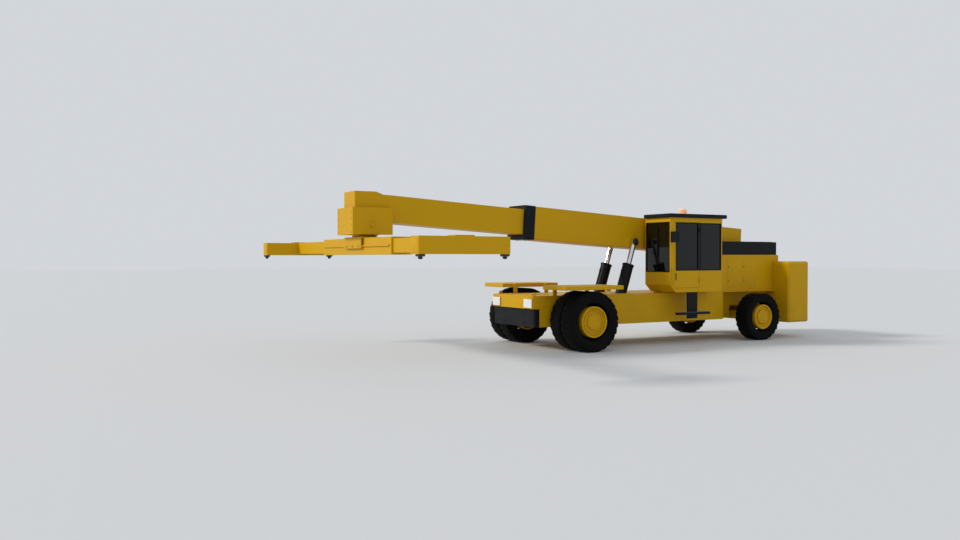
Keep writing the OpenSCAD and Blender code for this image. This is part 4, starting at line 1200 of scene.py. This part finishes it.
# %% Service doors, latches and louvres
HOOD_LOW, HOOD_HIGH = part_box("hood")
doors = []
latches = []
for side, sign in SIDES:
    for start, end in ((-6780, -6120), (-7560, -6860), (-8340, -7640)):
        place = HOOD_HIGH.y if sign > 0 else HOOD_LOW.y
        low = Vector((at(start, 0, 0).x, place - sign * 0.001, 1.82))
        high = Vector((at(end, 0, 0).x, place, 2.86))
        doors.append(hatch(low, high, 0.006, Y, sign))
        for z in (2.1, 2.58):
            latch = rod("latch", (high.x - 0.05, place + sign * 0.006, z), 0.022, 0.012,
                        axis="Y", sides=24)
            with faces(latch, Y, sign):
                inset(0.005)
                inset(0.002, -0.004)
            latches.append(latch)
finish_piece(joined(doors, "service_doors"), "frame", "yellow_paint")
finish_piece(joined(latches, "latches"), "frame", "dark_paint")

louvre = block("louvre", (-0.006, -0.24, 0), (0.0, 0.24, 0.05))
with faces(louvre, X, -1):
    extrude(-0.016, 0, -0.018)
    resize(1, 0.98, 0.35)
turned = Matrix.Rotation(math.pi / 2, 4, "Z")
spots = [(at(x, 0, 0).x, HOOD_LOW.y - 0.005, 1.98 + 0.085 * step)
         for x in (-6450, -7210) for step in range(9)]
rows = copies(louvre, [Matrix.Translation(spot) @ turned for spot in spots], "louvres")
finish_piece(rounded(rows, 0.002, 1), "frame", "yellow_paint")

# %% The air box's lid
AIR_LOW, AIR_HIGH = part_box("air_box")
lid = hatch((AIR_LOW.x + 0.12, AIR_LOW.y + 0.06, AIR_HIGH.z),
            (AIR_HIGH.x - 0.12, AIR_HIGH.y - 0.06, AIR_HIGH.z), 0.01)
finish_piece(joined([lid], "air_box_lid"), "frame", "dark_paint")
print("doors, latches, louvres and lid")

# %% [markdown]
# ## Head and spreader
#
# The turning ring is bolted through its race, so two arcs of bolt heads show on the
# carriage's plate. Wear pads line the lips that carry the beam. Each cross member ends in a
# welded end plate, and small guide blocks at its ends find the load. The end plates are
# thin blocks with their faces inset, so that the weld step shows.

# %% Bolts of the turning ring
TURN = Vector(joints["spreader_turn"]["pos_m"])
CARRIAGE_LOW, CARRIAGE_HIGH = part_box("carriage")
plate_top = touch("carriage", (TURN.x, TURN.y + 0.52, CARRIAGE_HIGH.z + 1), (0, 0, -1)).z
angles = [math.radians(a) for a in (60, 75, 90, 105, 120, 240, 255, 270, 285, 300)]
spots = [(TURN.x + 0.288 * math.cos(a), TURN.y + 0.42 * math.sin(a), plate_top) for a in angles]
finish_piece(nuts_at("ring_bolts", spots, (0, 0, 1), 0.03, 0.014), "carriage", "steel")

# %% Bolts of the head's front plate, and the carriage's pads
HEAD_LOW, HEAD_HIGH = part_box("head")
spots = [touch("head", (HEAD_HIGH.x + 1, y, z), (-1, 0, 0))
         for y in (-0.51, 0.51) for z in (HEAD_LOW.z + up for up in (0.1, 0.3, 0.5, 0.68))]
finish_piece(nuts_at("head_bolts", spots, (1, 0, 0), 0.034, 0.012), "head", "yellow_paint")

pads = []
for away in (-1, 1):
    face_x = CARRIAGE_HIGH.x if away > 0 else CARRIAGE_LOW.x
    for across in (-0.45, 0.0, 0.45):
        outer_x = face_x + away * 0.012
        pads.append(slab((face_x - 0.002, across - 0.07, CARRIAGE_LOW.z + 0.03),
                         (outer_x, across + 0.07, CARRIAGE_LOW.z + 0.11), 0.003, 1))
        spots = [(outer_x, across + shift, CARRIAGE_LOW.z + 0.07) for shift in (-0.04, 0.04)]
        pads.append(nuts_at("pad_bolts", spots, (away, 0, 0), 0.022, 0.01))
finish_piece(joined(pads, "pad_plates"), "carriage", "yellow_paint")

# %% End plates of the cross members
for side, sign in SIDES:
    low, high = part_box("spreader_arm_" + side)
    made = []
    outer_y = high.y if sign > 0 else low.y
    for away in (-1, 1):
        end_x = (high.x if away > 0 else low.x) - away * 0.002
        made.append(hatch((end_x, outer_y - sign * 0.035, low.z + 0.035),
                          (end_x, outer_y - sign * 0.415, low.z + 0.385), 0.01, X, away))
    finish_piece(joined(made, "end_plates_" + side), "arm_" + side, "yellow_paint")

# %% Guide blocks round the twistlocks
GUIDE_HALF = 0.085
for side, sign in SIDES:
    low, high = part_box("twistlocks_" + side)
    foot_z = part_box("spreader_arm_" + side)[0].z
    lock_y = (low.y + high.y) / 2
    made = []
    for end_x in (low.x + 0.052, high.x - 0.052):
        guide = block("guide", (end_x - GUIDE_HALF, lock_y - GUIDE_HALF, foot_z - 0.048),
                      (end_x + GUIDE_HALF, lock_y + GUIDE_HALF, foot_z - 0.001))
        with faces(guide, Z, -1):
            inset(0.014)
            bpy.ops.transform.translate(value=(0, 0, -0.008))
        made.append(rounded(guide, 0.006, 2))
    finish_piece(joined(made, "lock_guides_" + side), "arm_" + side, "steel")
print("ring bolts, head bolts, pads, end plates and lock guides")

# %% [markdown]
# ## Floor and light
#
# The machine stands on a plain pale floor under soft light. One wide sun gives the bright
# nose and the darker side, and a pale, even world keeps the shade open. A row of studio
# lamps would do the same, but each would add a highlight that the photograph lacks.

# %% Floor, lamps and world
bpy.ops.object.select_all(action="DESELECT")
bpy.ops.mesh.primitive_plane_add(size=400, location=(0, 0, 0))
floor = settle(bpy.context.object, "floor")
pale, tree, shader = new_material("pale floor")
configure(shader, Base_Color=(0.62, 0.63, 0.64, 1), Roughness=0.9)
floor.data.materials.append(pale)

bpy.ops.object.light_add(type="SUN", rotation=(math.radians(58), 0, math.radians(62)))
sun = bpy.context.object
sun.data.energy = 2.05
sun.data.angle = math.radians(12)
sun.data.color = (1.0, 0.95, 0.88)

world = bpy.data.worlds.new("studio")
bpy.context.scene.world = world
world.use_nodes = True
configure(world.node_tree.nodes["Background"], Color=(0.86, 0.9, 0.95, 1), Strength=0.75)
bpy.context.scene.view_settings.view_transform = "Standard"
